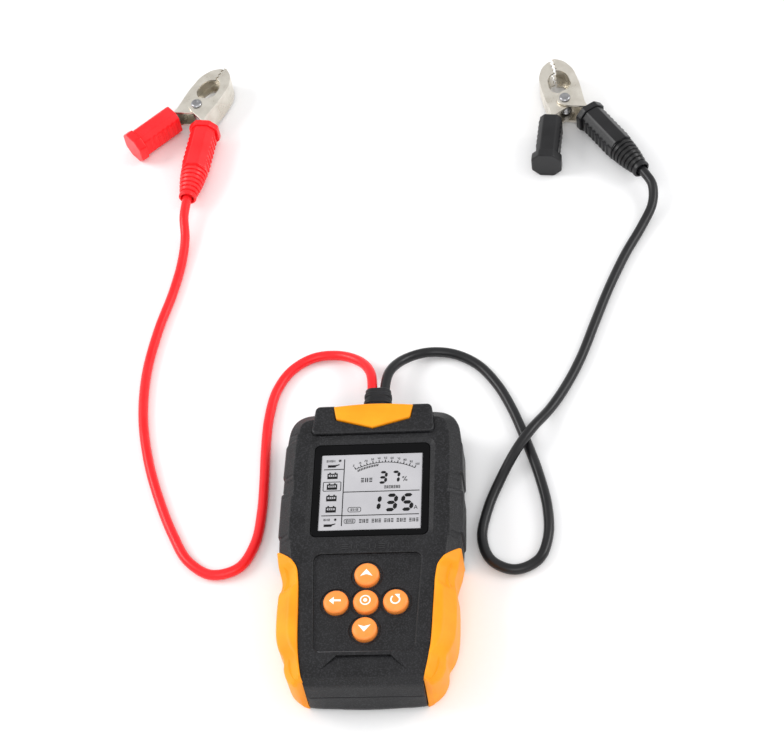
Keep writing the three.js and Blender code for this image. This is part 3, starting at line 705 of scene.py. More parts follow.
def chin_cut():
    """A ramp that is deepest at its upper edge and runs out through the face below."""
    length = CHIN["top"] - CHIN["bottom"]
    widening = (CHIN["bottom_half"] - CHIN["top_half"]) / length
    rings = []
    for down in (0, length + 3):
        y = CHIN["top"] - down
        half = CHIN["top_half"] + widening * down
        floor = FACE - CHIN["depth"] * (1 - down / length)
        rings.append([(-half, y, floor), (-half, y, FACE + 6), (half, y, FACE + 6), (half, y, floor)])
    return solid("chin", rings)


def under_cover(grow):
    """The room under the cover's plate, up to the lip that hangs over the top end."""
    room = rectangle_line(0, COVER["lip_start"] - grow - 30, 90, 60)
    return prism("under", room, 0, COVER["base"] - grow)


def cover_seat():
    seat = prism("seat", tapered(COVER), COVER["lip_low"] - JOINT_GAP, ABOVE, -JOINT_GAP)
    return combine(seat, [under_cover(JOINT_GAP)])


# How far a bore or a hole for the leads runs in Y: from within the case to beyond the gland.
THROUGH_END = (50, 90)
BOSS = 3.8
PILOT = {"radius": 1.65, "low": 5, "high": 21.5}
SCREW_HOLE = 1.7
SCREWS = [f"case_screw_{number}" for number in (1, 2, 3, 4)]


def gland_hole():
    plan = rounded_polygon(rectangle(0, 13, 13.2, 9), 2.5)
    return solid("gland_hole", [[(p.x, y, p.y) for p in plan] for y in THROUGH_END])


def at_screws(name, radius, sides, levels):
    """The same round body at each case screw."""
    return [
        stacked(name, circle(place.x, place.y, radius, sides), levels)
        for place in map(middle_of, SCREWS)
    ]


def posts(low, high, radius):
    return at_screws("post", radius, 28, [(0, low), (0, high)])


def make_front_shell():
    body = case_body("front_case", face_profile(PARTING + JOINT_GAP, FACE))
    combine(body, [cavity(0, CAVITY["high"])])
    combine(body, posts(PARTING + JOINT_GAP, CAVITY["high"] + 0.6, BOSS), "UNION")
    combine(body, posts(**PILOT))
    combine(body, [grip_pocket(1), grip_pocket(-1), cover_seat(), gland_hole()])
    combine(body, [*screen_cuts(), *keypad_cuts(), chin_cut()])
    finished(levelled(shaded(body), FACE), "root", "case_plastic", ["front_shell"])


def make_rear_shell():
    body = case_body("rear_case", rounded_path([
        (6, 0), (3, 0), (0, 3), (0, PARTING - EDGE_BREAK), (EDGE_BREAK, PARTING),
    ], 1.2, 5))
    combine(body, [cavity(CAVITY["low"], 60)])
    combine(body, posts(CAVITY["low"] - 0.5, PARTING, BOSS), "UNION")
    combine(body, posts(BELOW, ABOVE, SCREW_HOLE))
    combine(body, at_screws("head", 3.2, 40, [(-0.4, BELOW), (-0.4, 0), (0, 0.4), (0, 3)]))
    label = rounded_polygon(rectangle(0, 12, 52, 34), 2)
    combine(body, [stacked("label", label, [(-0.3, BELOW), (-0.3, 0), (0, 0.3), (0.1, 0.5)])])
    for row in range(5):
        groove = rounded_polygon(rectangle(0, -22 - row * 6, 40, 1.8), 0.85, 6)
        combine(body, [stacked("groove", groove, [(-0.3, BELOW), (-0.3, 0), (0, 0.3), (0.35, 0.7)])])
    combine(body, [gland_hole(), grip_pocket(1), grip_pocket(-1)])
    finished(shaded(body), "root", "case_plastic", ["rear_shell"])


def crossing(line, y):
    """Where a line that runs down the page crosses a height: its x there."""
    for p, q in zip(line, line[1:]):
        if p.y >= y > q.y:
            return p.x + (q.x - p.x) * (p.y - y) / (p.y - q.y)
    return line[-1].x


GRIP = {"top": -12.1, "bottom": -79.8, "crown": 28.3, "least_crown": 23.8, "shoulder": 23.3, "chamfer": 6.0,
        "keel": 3.0, "wall": 2.7, "core_low": 2.3, "core_high": 25.0}
# The end stands a little proud of the shell's and leans in further beside the chamfer.
GRIP_END = {"proud": 0.1, "from": 22, "lean": 0.336}
# The hollows for the fingertips: where each begins and ends, and how deep it is.
SCOOPS = [(-18.5, -34.5, 1.3), (-64.5, -80, 1.2)]
SCOOP_RUN = 4.5


def scoop_at(y):
    return sum(
        depth * step_between(y, end, end + SCOOP_RUN) * (1 - step_between(y, start - SCOOP_RUN, start))
        for start, end, depth in SCOOPS
    )


def grip_section(side, y, inner, outer):
    """The outline of one slice through a grip, from its lower inner edge round the outside."""
    width = outer - inner
    scoop = scoop_at(y)
    room = max(width - 0.9, 0.3)
    chamfer = min(GRIP["chamfer"] + scoop * 1.5, room)
    slope = (GRIP["crown"] - GRIP["shoulder"]) / GRIP["chamfer"]
    crown = max(GRIP["crown"] - max(0.0, GRIP["chamfer"] - room) * slope, GRIP["least_crown"])
    shoulder = GRIP["shoulder"] - scoop * 1.6
    keel = min(GRIP["keel"], width * 0.8)
    core = max(inner + 0.02, outer - GRIP["wall"])
    core_low = GRIP["core_low"] if core > inner + 0.03 else 3.0
    core_high = min(GRIP["core_high"], crown - 0.6)
    outside = rounded_path([
        (inner, core_low), (inner, 0), (outer - keel, 0), (outer, keel), (outer, shoulder),
        (outer - chamfer, crown), (inner, crown), (inner, core_high),
    ], min(0.9, width * 0.3) + 0.5, 4)
    line = [(p[0], p[1]) for p in outside] + [(core, core_high), (core, core_low)]
    section = []
    for x, z in line:
        lean = END_LEAN * z + max(0.0, z - GRIP_END["from"]) * GRIP_END["lean"]
        section.append((side * x, max(y, CASE_BOTTOM - GRIP_END["proud"] + lean), z))
    return section


def make_grip(side):
    plan = [p for p in case_plan(0.6) if p.x > 20 and p.y < 0]
    plan.sort(key=lambda p: -p.y)
    edge = grip_edge(8)
    slices = 110
    rings = []
    for row in range(slices + 1):
        y = GRIP["top"] + (GRIP["bottom"] - GRIP["top"]) * row / slices
        inner = crossing(edge, y) + JOINT_GAP
        outer = max(crossing(plan, y), inner + 0.5)
        rings.append(grip_section(side, y, inner, outer))
    name = "right" if side > 0 else "left"
    grip = solid(f"{name}_grip_cover", rings)
    finished(shaded(grip, 50), "root", "grip_rubber", [f"{name}_grip"])


make_front_shell()
make_rear_shell()
for side in (-1, 1):
    make_grip(side)


# ---------------------------------------------------------------- cover, tab and gland

TAB = {"top_half": 19.2, "side_half": 17.9, "side_y": 57, "tip_y": 51.8, "base": 27.4, "crown": 29.6}


def tab_outline(grow=0.0):
    """A chevron that runs on past the top end, clockwise."""
    side, end = TAB["top_half"] + grow, CASE_TOP + 4
    return rounded_polygon([
        (-side, end), (side, end), (TAB["side_half"] + grow, TAB["side_y"] - grow),
        (0, TAB["tip_y"] - grow), (-TAB["side_half"] - grow, TAB["side_y"] - grow),
    ], 1.5, 6)


def tab_plan():
    """The same chevron, with a bowed upper edge at the top end."""
    side, end = TAB["top_half"], CASE_TOP - 1.2
    bow = [Vector((-side + 2 * side * k / 16, end + 1.2 * math.sin(math.pi * k / 16))) for k in range(17)]
    return bow + [p for p in tab_outline() if p.y < end - 0.5]


def make_cover():
    top = COVER["crown"]
    cover = stacked("top_cover_hood", tapered(COVER), [
        (0, COVER["lip_low"]), (0, top - 1.3), (0.08, top - 0.75), (0.35, top - 0.3), (0.75, top - 0.08),
        (1.3, top),
    ])
    seat = stacked("seat", tab_outline(JOINT_GAP), [
        (0, TAB["base"] - JOINT_GAP), (0, top - 0.35), (-0.35, top), (-0.35, 60),
    ])
    combine(cover, [under_cover(0), seat])
    finished(shaded(cover), "root", "case_plastic", ["top_cover"])


def make_tab():
    top = TAB["crown"]
    tab = stacked("chevron_tab", tab_plan(), [
        (0, TAB["base"]), (0, top - 0.9), (0.08, top - 0.5), (0.3, top - 0.15), (0.65, top),
    ])
    finished(shaded(tab), "root", "grip_rubber", ["top_tab"])


GLAND = {"flange": (18, 12), "neck": (12.6, 8.4), "end": (11.8, 7.6), "round": 0.42, "lead_x": 3.2,
         "bore": 2.85}
# One rib: steps along the gland, and how far the slice there is inside the rib's full size.
GLAND_RIB = [(-0.1, 0.9), (0.35, 0.15), (1.2, 0), (2.05, 0.15), (2.45, 0.9)]


def make_gland():
    low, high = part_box("lead_gland")
    start, end = low.y / MM, high.y / MM
    z = middle_of("lead_gland").z
    neck = GLAND["neck"]

    def ring(y, width, height):
        plan = rounded_polygon(rectangle(0, 0, width, height), min(width, height) * GLAND["round"], 7)
        return [(p.x, y, z + p.y) for p in plan]

    rings = [ring(start, *GLAND["flange"]), ring(start + 1.8, *GLAND["flange"]), ring(start + 1.81, *neck)]
    for rib in range(4):
        start = CASE_TOP + 0.5 + rib * 3.9
        width, height = 14.4 - rib * 0.25, 10 - rib * 0.2
        rings.append(ring(start - 0.35, *neck))
        rings += [ring(start + along, width - sunk, height - sunk) for along, sunk in GLAND_RIB]
        rings.append(ring(start + 2.7, *neck))
    rings += [ring(end - 0.5, *neck), ring(end, *GLAND["end"])]
    gland = solid("ribbed_gland", rings)
    for side in (-1, 1):
        plan = [(side * GLAND["lead_x"] + p.x, p.y) for p in circle(0, 0, GLAND["bore"], 40)]
        combine(gland, [solid("bore", [[(x, y, z + h) for x, h in plan] for y in THROUGH_END])])
    finished(shaded(gland), "root", "gland_rubber", ["lead_gland"])


make_cover()
make_tab()
make_gland()


# ---------------------------------------------------------------- display

def make_lens():
    """The glossy border of the display, with a fine round along its edges."""
    lens = stacked("display_border", lens_outline(0, 3), [
        (0, LENS["bottom"]), (0, LENS["top"] - 0.25), (0.07, LENS["top"] - 0.07), (0.25, LENS["top"]),
        (1.2, LENS["top"]),
    ])
    opening = rounded_polygon(rectangle(0, SCREEN["y"], SCREEN["width"], SCREEN["height"]), 0.5, 3)
    combine(lens, [stacked("opening", opening, [
        (0, 0), (0, LENS["top"] - 0.15), (-0.15, LENS["top"]), (-0.15, 60),
    ])])
    finished(shaded(lens), "root", "display_window", ["display_lens"])


INK = {"low": SCREEN["top"] + 0.01, "high": SCREEN["top"] + 0.06}
VIEW = {"width": 47.6, "height": 40.4}


def on_screen(across, down):
    """A place on the display from the share of its width and height, from the upper left."""
    return Vector(((across - 0.5) * VIEW["width"], SCREEN["y"] + (0.5 - down) * VIEW["height"]))


class Ink:
    """Flat marks that make one piece: each shape is an outline between two heights."""

    def __init__(self, name, low, high):
        self.name, self.low, self.high = name, low, high
        self.points, self.faces = [], []

    def shape(self, outline):
        first, count = len(self.points), len(outline)
        for height in (self.low, self.high):
            self.points += [(p[0] * MM, p[1] * MM, height * MM) for p in outline]
        self.faces.append([first + k for k in range(count)])
        self.faces.append([first + count + k for k in reversed(range(count))])
        for k in range(count):
            on = (k + 1) % count
            self.faces.append([first + k, first + count + k, first + count + on, first + on])

    def line(self, start, end, width):
        start, end = Vector(start), Vector(end)
        along = (end - start).normalized()
        side = Vector((along.y, -along.x)) * width / 2
        self.shape([start + side, start - side, end - side, end + side])

    def border(self, middle, width, height, thick, radius):
        """A rounded border, as a strip of four-sided pieces."""
        self.loop(rounded_polygon(rectangle(middle.x, middle.y, width, height), radius, 4), thick)

    def loop(self, outer, thick):
        self.band(outer, [p + way * thick for p, way in zip(outer, inward(outer))])

    def band(self, outer, inner, closed=True):
        count = len(outer)
        first = len(self.points)
        for height in (self.low, self.high):
            for outline in (outer, inner):
                self.points += [(p[0] * MM, p[1] * MM, height * MM) for p in outline]
        for k in range(count if closed else count - 1):
            on = (k + 1) % count
            a, b, c, d = first + k, first + on, first + count + on, first + count + k
            up = 2 * count
            self.faces += [[a, b, c, d], [a + up, d + up, c + up, b + up],
                           [a, a + up, b + up, b], [d, c, c + up, d + up]]
        if not closed:
            up = 2 * count
            for k, turn in ((0, 1), (count - 1, -1)):
                a, d = first + k, first + count + k
                self.faces.append([a, d, d + up, a + up][::turn])

    def made(self, body, slot):
        mesh = bpy.data.meshes.new(self.name)
        mesh.from_pydata(self.points, [], self.faces)
        form = bmesh.new()
        form.from_mesh(mesh)
        bmesh.ops.recalc_face_normals(form, faces=form.faces)
        form.to_mesh(mesh)
        form.free()
        return finished(new_piece(self.name, mesh), body, slot)


# Which of the seven bars each figure shows: top, upper left, upper right, middle, lower left,
# lower right and bottom.
BARS = {0: "1110111", 1: "0010010", 2: "1011101", 3: "1011011", 4: "0111010",
        5: "1101011", 6: "1101111", 7: "1010010", 8: "1111111", 9: "1111011"}


def figure(ink, number, corner, width, height, thick, slant=0.0):
    """A seven-bar figure with its lower left corner at a place."""
    half, gap = thick / 2, thick * 0.12
    left, right = half, width - half
    rows = (half, height / 2, height - half)

    def bar(a, b):
        a, b = Vector(a), Vector(b)
        along = (b - a).normalized()
        side = Vector((along.y, -along.x)) * half
        a, b = a + along * gap, b - along * gap
        outline = [a, a + along * half - side, b - along * half - side, b, b - along * half + side,
                   a + along * half + side]
        ink.shape([(corner.x + p.x + p.y * slant, corner.y + p.y) for p in outline])

    ends = [
        ((left, rows[2]), (right, rows[2])), ((left, rows[1]), (left, rows[2])),
        ((right, rows[1]), (right, rows[2])), ((left, rows[1]), (right, rows[1])),
        ((left, rows[0]), (left, rows[1])), ((right, rows[0]), (right, rows[1])),
        ((left, rows[0]), (right, rows[0])),
    ]
    for lit, (a, b) in zip(BARS[number], ends):
        if lit == "1":
            bar(a, b)


def figures(ink, number, middle, width, height, thick, pitch, slant=0.0):
    text = str(number)
    start = middle.x - (len(text) - 1) * pitch / 2 - width / 2
    for place, digit in enumerate(text):
        corner = Vector((start + place * pitch, middle.y - height / 2))
        figure(ink, int(digit), corner, width, height, thick, slant)


def dial(ink):
    """The scale from 0 to 100 over the figures, with the bar of its pointer below it."""
    start, top, end = on_screen(0.34, 0.195), on_screen(0.635, 0.108), on_screen(0.93, 0.195)
    sag = top.y - start.y
    radius = ((end.x - start.x) ** 2 / 4 + sag ** 2) / (2 * sag)
    centre = Vector((top.x, top.y - radius))
    spread = math.asin((end.x - start.x) / 2 / radius)

    def at(share, out):
        turn = -spread + 2 * spread * share
        return centre + Vector((math.sin(turn), math.cos(turn))) * (radius + out)

    steps = 40
    upper, lower = ([at(k / steps, out) for k in range(steps + 1)] for out in (0.16, -0.16))
    ink.band(upper, lower, closed=False)
    for mark in range(11):
        ink.line(at(mark / 10, -0.1), at(mark / 10, 1.3), 0.42)
        if mark < 10:
            ink.line(at(mark / 10 + 0.05, -0.1), at(mark / 10 + 0.05, 0.7), 0.3)
        figures(ink, mark * 10, at(mark / 10, 2.35), 0.62, 1.15, 0.2, 0.82)
    for mark in range(13):
        ink.line(at(0.015 + mark * 0.029, -1.85), at(0.03 + mark * 0.029, -0.75), 0.46)


# A small battery, in shares of its size: the place and the size of each block of it.
CELL = {"width": 4.9, "height": 3.0}
CELL_BLOCKS = [
    (0, -0.3, 1, 0.42), (0, 0.36, 1, 0.22), (-0.44, 0.08, 0.12, 0.34), (0.44, 0.08, 0.12, 0.34),
    (-0.26, 0.58, 0.16, 0.16), (0.26, 0.58, 0.16, 0.16), (-0.2, 0.08, 0.09, 0.2), (0, 0.08, 0.09, 0.2),
    (0.2, 0.08, 0.09, 0.2),
]


def cell(ink, middle):
    wide, tall = CELL["width"], CELL["height"]
    for x, y, width, height in CELL_BLOCKS:
        ink.shape(rectangle(middle.x + x * wide, middle.y + y * tall, width * wide, height * tall))


def pointer(ink, middle):
    """A stylised pointing bar: a thick block that tapers to the right."""
    x, y = middle
    ink.shape([(x - 2.7, y - 0.75), (x - 2.7, y + 0.55), (x + 0.9, y + 0.55), (x + 2.7, y + 0.95),
               (x + 2.9, y + 0.6), (x + 1.3, y - 0.1), (x + 0.9, y - 0.75)])


def spark(ink, middle, size):
    """A small eight-armed star."""
    for arm in range(4):
        turn = math.pi * arm / 4
        way = Vector((math.cos(turn), math.sin(turn))) * size
        ink.line(middle - way, middle + way, size * 0.32)


def dashes(ink, middle, count, width, height, pitch):
    """A label that says nothing: a row of marks, of two upright bars or three level ones in turn."""
    stroke = height * 0.21
    for k in range(count):
        x = middle.x + (k - (count - 1) / 2) * pitch
        if k % 2:
            for side in (-1, 1):
                ink.shape(rectangle(x + side * (width - stroke) / 2, middle.y, stroke, height))
        else:
            for row in (-1, 0, 1):
                ink.shape(rectangle(x, middle.y + row * (height - stroke) / 2, width, stroke))


# All places on the display are shares of its width and height, from the upper left.
THIN = 0.42
RULES = [(0.02, 0.224, 0.19), (0.02, 0.224, 0.81), (0.224, 0.985, 0.50), (0.224, 0.985, 0.815)]
# Labels: place, number of marks, their width and height, and their pitch.
LABELS = [
    (0.085, 0.075, 4, 0.85, 1.15, 1.1), (0.075, 0.865, 3, 0.85, 1.1, 1.1), (0.454, 0.345, 3, 1.4, 2.3, 1.95),
    (0.712, 0.445, 7, 0.85, 1.6, 1.12), (0.345, 0.738, 3, 0.95, 1.25, 1.35),
    (0.303, 0.89, 3, 0.95, 1.45, 1.35),
    *((across, 0.89, 3, 1.15, 1.95, 1.6) for across in (0.443, 0.567, 0.69, 0.813, 0.936)),
]
# Borders: place, width and height, thickness and corner radius.
BORDERS = [
    (0.11, 0.42, 0.183 * VIEW["width"], 0.128 * VIEW["height"], 0.34, 0.6),
    (0.345, 0.738, 6.3, 2.7, 0.26, 0.9), (0.303, 0.89, 5.4, 2.5, 0.24, 0.9),
]


def make_display_marks():
    ink = Ink("display_marks", INK["low"], INK["high"])
    ink.line(on_screen(0.224, 0.055), on_screen(0.224, 0.95), THIN)
    for left, right, down in RULES:
        ink.line(on_screen(left, down), on_screen(right, down), THIN)
    for across, down, *size in LABELS:
        dashes(ink, on_screen(across, down), *size)
    for across, down, *size in BORDERS:
        ink.border(on_screen(across, down), *size)
    for down in (0.28, 0.425, 0.58, 0.73):
        cell(ink, on_screen(0.11, down))
    spark(ink, on_screen(0.178, 0.072), 0.75)
    spark(ink, on_screen(0.16, 0.865), 0.7)
    pointer(ink, on_screen(0.115, 0.143))
    pointer(ink, on_screen(0.105, 0.938))
    dial(ink)
    figures(ink, 37, on_screen(0.672, 0.315), 4.3, 6.9, 1.3, 6.0, 0.08)
    figures(ink, 135, on_screen(0.695, 0.655), 6.1, 9.5, 1.8, 7.7, 0.1)
    percent = on_screen(0.835, 0.34)
    ink.line(percent + Vector((-0.6, -1.3)), percent + Vector((0.7, 1.3)), 0.32)
    for side in (-1, 1):
        ink.loop(circle(percent.x - side * 0.75, percent.y + side * 0.75, 0.5, 14), 0.24)
    unit = on_screen(0.951, 0.725)
    for side in (-1, 1):
        ink.line(unit + Vector((side * 0.75, -0.95)), unit + Vector((0, 1.0)), 0.26)
    ink.line(unit + Vector((-0.45, -0.35)), unit + Vector((0.45, -0.35)), 0.24)
    ink.made("root", "display_ink")


def make_face_relief():
    """A row of low raised marks on the face, between the display and the keys."""
    relief = Ink("face_relief", FACE - 0.05, FACE + 0.16)
    dashes(relief, Vector((0, -11.4)), 6, 3.1, 2.5, 4.3)
    relief.made("root", "component_black")


make_lens()
make_display_marks()
make_face_relief()


# ---------------------------------------------------------------- keys

def lathe(name, profile, x, y, sides=64):
    """A turned body about a vertical axis, from pairs of radius and height, lowest first."""
    return solid(name, [
        [(*point, height) for point in circle(x, y, radius, sides)] for radius, height in profile
    ])


KEY = {"radius": 5.75, "flange": 6.5, "flange_top": 22.6, "dome": 0.55}
# The key's round shoulder, as pairs of radius and height.
KEY_SHOULDER = [(5.75, 26.3), (5.72, 26.75), (5.6, 27.1), (5.36, 27.42), (5.0, 27.66)]
KEY_MARK = {"height": 0.09, "sunk": 0.03, "longest": 0.6}


def crown_height(distance, crown):
    """How high a key's gently domed top is at a distance from its middle."""
    return crown - KEY["dome"] * (distance / KEY["radius"]) ** 2


def key_marks(ink, kind, x, y):
    """A generic symbol for what the key does."""
    if kind in ("up", "down"):
        way = 1 if kind == "up" else -1
        ink.shape([
            (x - 2.9, y - way * 1.45), (x, y + way * 2.1), (x + 2.9, y - way * 1.45), (x, y - way * 0.55),
        ])
    elif kind == "enter":
        ink.loop(circle(x, y, 2.5, 32), 0.6)
        ink.shape(circle(x, y, 0.95, 20))
    elif kind == "escape":
        ink.shape([(x - 2.9, y + 0.1), (x - 0.7, y + 2.0), (x - 0.7, y - 1.8)])
        ink.line((x - 0.9, y + 0.1), (x + 2.5, y + 0.1), 0.95)
    else:
        count = 26
        turns = [math.radians(55 - 290 * k / count) for k in range(count + 1)]
        ink.band(arc(x, y, 2.35, turns), arc(x, y, 1.65, turns), closed=False)
        tip = arc(x, y, 2.0, turns[:1])[0]
        ink.shape([tip + Vector((-1.5, 1.0)), tip + Vector((0.9, 1.1)), tip + Vector((0.5, -1.25))])


def make_key(node):
    kind = node.split("_")[1]
    place = middle_of(node)
    low, high = (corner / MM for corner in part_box(node))
    profile = [
        (0, low.z), (KEY["flange"], low.z), (KEY["flange"], KEY["flange_top"]),
        (KEY["radius"], KEY["flange_top"]), *KEY_SHOULDER, (4.5, high.z - KEY["dome"] * 0.62 - 0.06),
    ]
    profile += [(radius, crown_height(radius, high.z)) for radius in (3.8, 3.0, 2.0, 1.0, 0.0)]
    key = lathe(f"{kind}_key", profile, place.x, place.y)
    finished(shaded(key, 40), node, "button_plastic", [node])
    ink = Ink(f"{kind}_key_mark", 0.0, KEY_MARK["height"])
    key_marks(ink, kind, place.x, place.y)
    mark = ink.made(node, "mark_white")
    form = bmesh.new()
    form.from_mesh(mark.data)
    bmesh.ops.triangulate(form, faces=form.faces)
    long_edges = [edge for edge in form.edges if edge.calc_length() > KEY_MARK["longest"] * MM]
    bmesh.ops.subdivide_edges(form, edges=long_edges, cuts=3, use_grid_fill=True)
    bmesh.ops.triangulate(form, faces=form.faces)
    for point in form.verts:
        distance = math.hypot(point.co.x / MM - place.x, point.co.y / MM - place.y)
        point.co.z += (crown_height(distance, high.z) - KEY_MARK["sunk"]) * MM
    form.to_mesh(mark.data)
    form.free()


for button in BUTTONS:
    make_key(button)


# ---------------------------------------------------------------- case screws

def make_screw(node):
    """A countersunk screw with a cross in its head and a thread on its shaft."""
    place = middle_of(node)
    core, crest, pitch = 1.35, 1.6, 0.8
    profile = [(0, 0.62), (1.7, 0.55), (2.5, 0.62), (2.8, 0.9), (2.8, 2.7), (core, 2.75), (core, 8)]
    for turn in range(14):
        foot = 8.2 + turn * pitch
        profile += [(core, foot), (crest, foot + 0.3), (crest, foot + 0.38), (core, foot + 0.68)]
    profile += [(core, 19.8), (0, 21)]
    screw = lathe(f"cross_{node}", profile, place.x, place.y, 32)
    for width, depth in ((3.2, 0.75), (0.75, 3.2)):
        arm = rectangle_line(place.x, place.y, width, depth)
        combine(screw, [stacked("arm", arm, [(0, -1), (0, 0.9), (0.3, 1.7)])])
    finished(shaded(screw), "root", "steel", [node])


for screw_node in SCREWS:
    make_screw(screw_node)


# ---------------------------------------------------------------- clamps

# Each half is drawn for a handle on the +Y side, jaws along +X and the pivot at the origin.
CLAMP_TURN = {"red": math.radians(63), "black": math.radians(104)}
CLAMP_HEIGHT = 17
CLAMP_MIDDLE = CLAMP_HEIGHT / 2
HANDLE_ANGLE = math.radians(20)
ARM_START = (-7, 9.4)
SHEET = 1.2
BORE = 2.9


def set_clamp(piece, colour, overturned=False):
    """Moves a piece from the clamp's own frame to the clamp's place."""
    pivot = middle_of(f"{colour}_pivot_rivet")
    place = Matrix.Translation((pivot.x * MM, pivot.y * MM, 0)) @ Matrix.Rotation(CLAMP_TURN[colour], 4, "Z")
    if overturned:
        over = Matrix.Translation((0, 0, CLAMP_HEIGHT * MM)) @ Matrix.Rotation(math.pi, 4, "X")
        place = place @ over
    piece.data.transform(place)
    return piece


def along_arm(distance, aside=0.0):
    """A place in plan, from the arm's start: a distance along it and one to its outer side."""
    lean, rise = math.cos(HANDLE_ANGLE), math.sin(HANDLE_ANGLE)
    return Vector((
        ARM_START[0] - lean * distance + rise * aside, ARM_START[1] + rise * distance + lean * aside,
    ))


def across_arm(distance, outline):
    """A slice's outline, of pairs aside and height, set up at a distance along the arm."""
    return [(*along_arm(distance, aside), height) for aside, height in outline]


def octagon(width, low, high, chamfer):
    """An eight-sided slice with soft corners and further points along its flats."""
    half = width / 2
    corners = [
        (-half + chamfer, low), (-half, low + chamfer), (-half, high - chamfer), (-half + chamfer, high),
        (half - chamfer, high), (half, high - chamfer), (half, low + chamfer), (half - chamfer, low),
    ]
    soft = rounded_polygon(corners, 1.4, 2)
    line = []
    for k, point in enumerate(soft):
        line.append(point)
        if k % 3 == 2:
            on = soft[(k + 1) % len(soft)]
            line += [point.lerp(on, share / 4) for share in (1, 2, 3)]
    return line


def disc(radius):
    """A round slice whose points match those of an octagon."""
    middle = Vector((0, CLAMP_MIDDLE))
    even = octagon(13, CLAMP_MIDDLE - 6.5, CLAMP_MIDDLE + 6.5, 3.8)
    return [middle + (point - middle).normalized() * radius for point in even]


def block_slices(start, end, width, low, high, chamfer, soft=0.55):
    """The slices of an eight-sided block whose two ends are rounded off."""
    run = [(0, soft), (soft * 0.1, soft * 0.55), (soft * 0.4, soft * 0.15), (soft, 0)]
    places = [(start + along, shrink) for along, shrink in run]
    places += [(end - along, shrink) for along, shrink in reversed(run)]
    return [
        (distance, octagon(width - 2 * shrink, low + shrink, high - shrink, chamfer - shrink * 0.5))
        for distance, shrink in places
    ]


def ridged_slices(start, end, width, low, high, chamfer, first, pitch, ridges, proud=0.6):
    """An eight-sided block with a row of short ridges on its two sides."""
    slices = block_slices(start, end, width, low, high, chamfer)
    half = len(slices) // 2
    bumps = []
    for ridge in range(ridges):
        foot = first + ridge * pitch
        for along, rise in ((0, 0), (0.25, 0.75), (0.5, 1), (1.2, 1), (1.45, 0.75), (1.7, 0)):
            bump = proud * rise
            bumps.append((foot + along, octagon(width + 2 * bump, low, high, chamfer + bump)))
    return slices[:half] + bumps + slices[half:]


def boot_slices(start, end, wide, narrow, ribs):
    """The ribbed boot round the lead: round, and narrower from rib to rib."""
    pitch = (end - start - 1.4) / ribs
    slices = [(start, disc(wide - 0.3)), (start + 0.2, disc(wide))]
    for rib in range(ribs):
        foot = start + 0.5 + rib * pitch
        radius = wide + (narrow - wide) * (rib / (ribs - 1)) ** 1.5
        for along, sunk in ((0, 0), (0.12, 0.15), (0.2, 0.75), (0.5, 1.0), (0.9, 1.0), (1.2, 0.75),
                            (1.3, 0.15), (1.45, 0)):
            slices.append((foot + along * pitch / 2.8, disc(radius - 0.95 * sunk)))
    slices += [(end - 0.5, disc(narrow)), (end - 0.15, disc(narrow - 0.15)), (end, disc(narrow - 0.5))]
    return slices


def loft(name, slices):
    return solid(name, [across_arm(distance, outline) for distance, outline in slices])


def arm_pocket(low, high):
    """The slot in a handle that the jaw's arm stands in."""
    half = SHEET + JOINT_GAP
    outline = [(-half, low - 0.3), (-half, high + 0.3), (half, high + 0.3), (half, low - 0.3)]
    return loft("pocket", [(-4, outline), (23, outline)])


def make_lead_handle(colour):
    slices = block_slices(2.5, 6, 16, 0, CLAMP_HEIGHT, 4.2)
    slices += ridged_slices(5.9, 32.5, 13, 0.8, CLAMP_HEIGHT - 0.8, 3.4, first=8.6, pitch=3.15, ridges=7)
    slices += boot_slices(32.3, 51, 7.2, 4.8, ribs=7)
    handle = loft(f"{colour}_lead_grip", slices)
    mouth = BORE + 0.9
    bore = loft("bore", [(24, disc(BORE)), (48, disc(BORE)), (50, disc(mouth)), (60, disc(mouth))])
    combine(handle, [arm_pocket(1.5, 15.5), bore])
    set_clamp(handle, colour, overturned=True)
    return finished(shaded(handle, 38), "root", f"pvc_{colour}", [f"{colour}_lead_handle"])


def make_free_handle(colour):
    slices = ridged_slices(
        2.5, 27.2, 12, 0.8, CLAMP_HEIGHT - 0.8, 2.6, first=5, pitch=3.2, ridges=6, proud=0.35)
    slices += block_slices(27.2, 32, 16, 0, CLAMP_HEIGHT, 4.2, soft=0.8)
    handle = loft(f"{colour}_free_grip", slices)
    combine(handle, [arm_pocket(3, 14)])
    set_clamp(handle, colour)
    return finished(shaded(handle, 38), f"{colour}_free_half", f"pvc_{colour}", [f"{colour}_free_handle"])


JAW_BACK = [(29, 1.9), (26, 6.4), (19, 9.8), (8, 10.4), ARM_START]
JAW_INSIDE = [(8, 9.1), (18.4, 8.5), (25, 5.4), (27.8, 1.9)]
JAW_THROAT = [
    ARM_START, (-9, 9), (-6.4, 2.4), (-4.8, -1.6), (-2, -4.6), (2, -4.6), (4.8, -1.6), (6, 3.6), (9, 6),
    (16, 5.6), (19.5, 3.2), (20.5, 0.3),
]
JAW_TEETH = [(22, 1.2), (23.4, 0.3), (24.8, 1.2), (26.2, 0.3), (27.6, 1.2), (29, 0.3)]


def sheet(name, outline, low, high):
    """A flat piece of sheet metal with its edges broken. The outline runs anticlockwise."""
    soft = 0.16
    return stacked(name, list(reversed(outline)), [
        (soft, low), (soft * 0.3, low + soft * 0.3), (0, low + soft), (0, high - soft),
        (soft * 0.3, high - soft * 0.3), (soft, high),
    ])


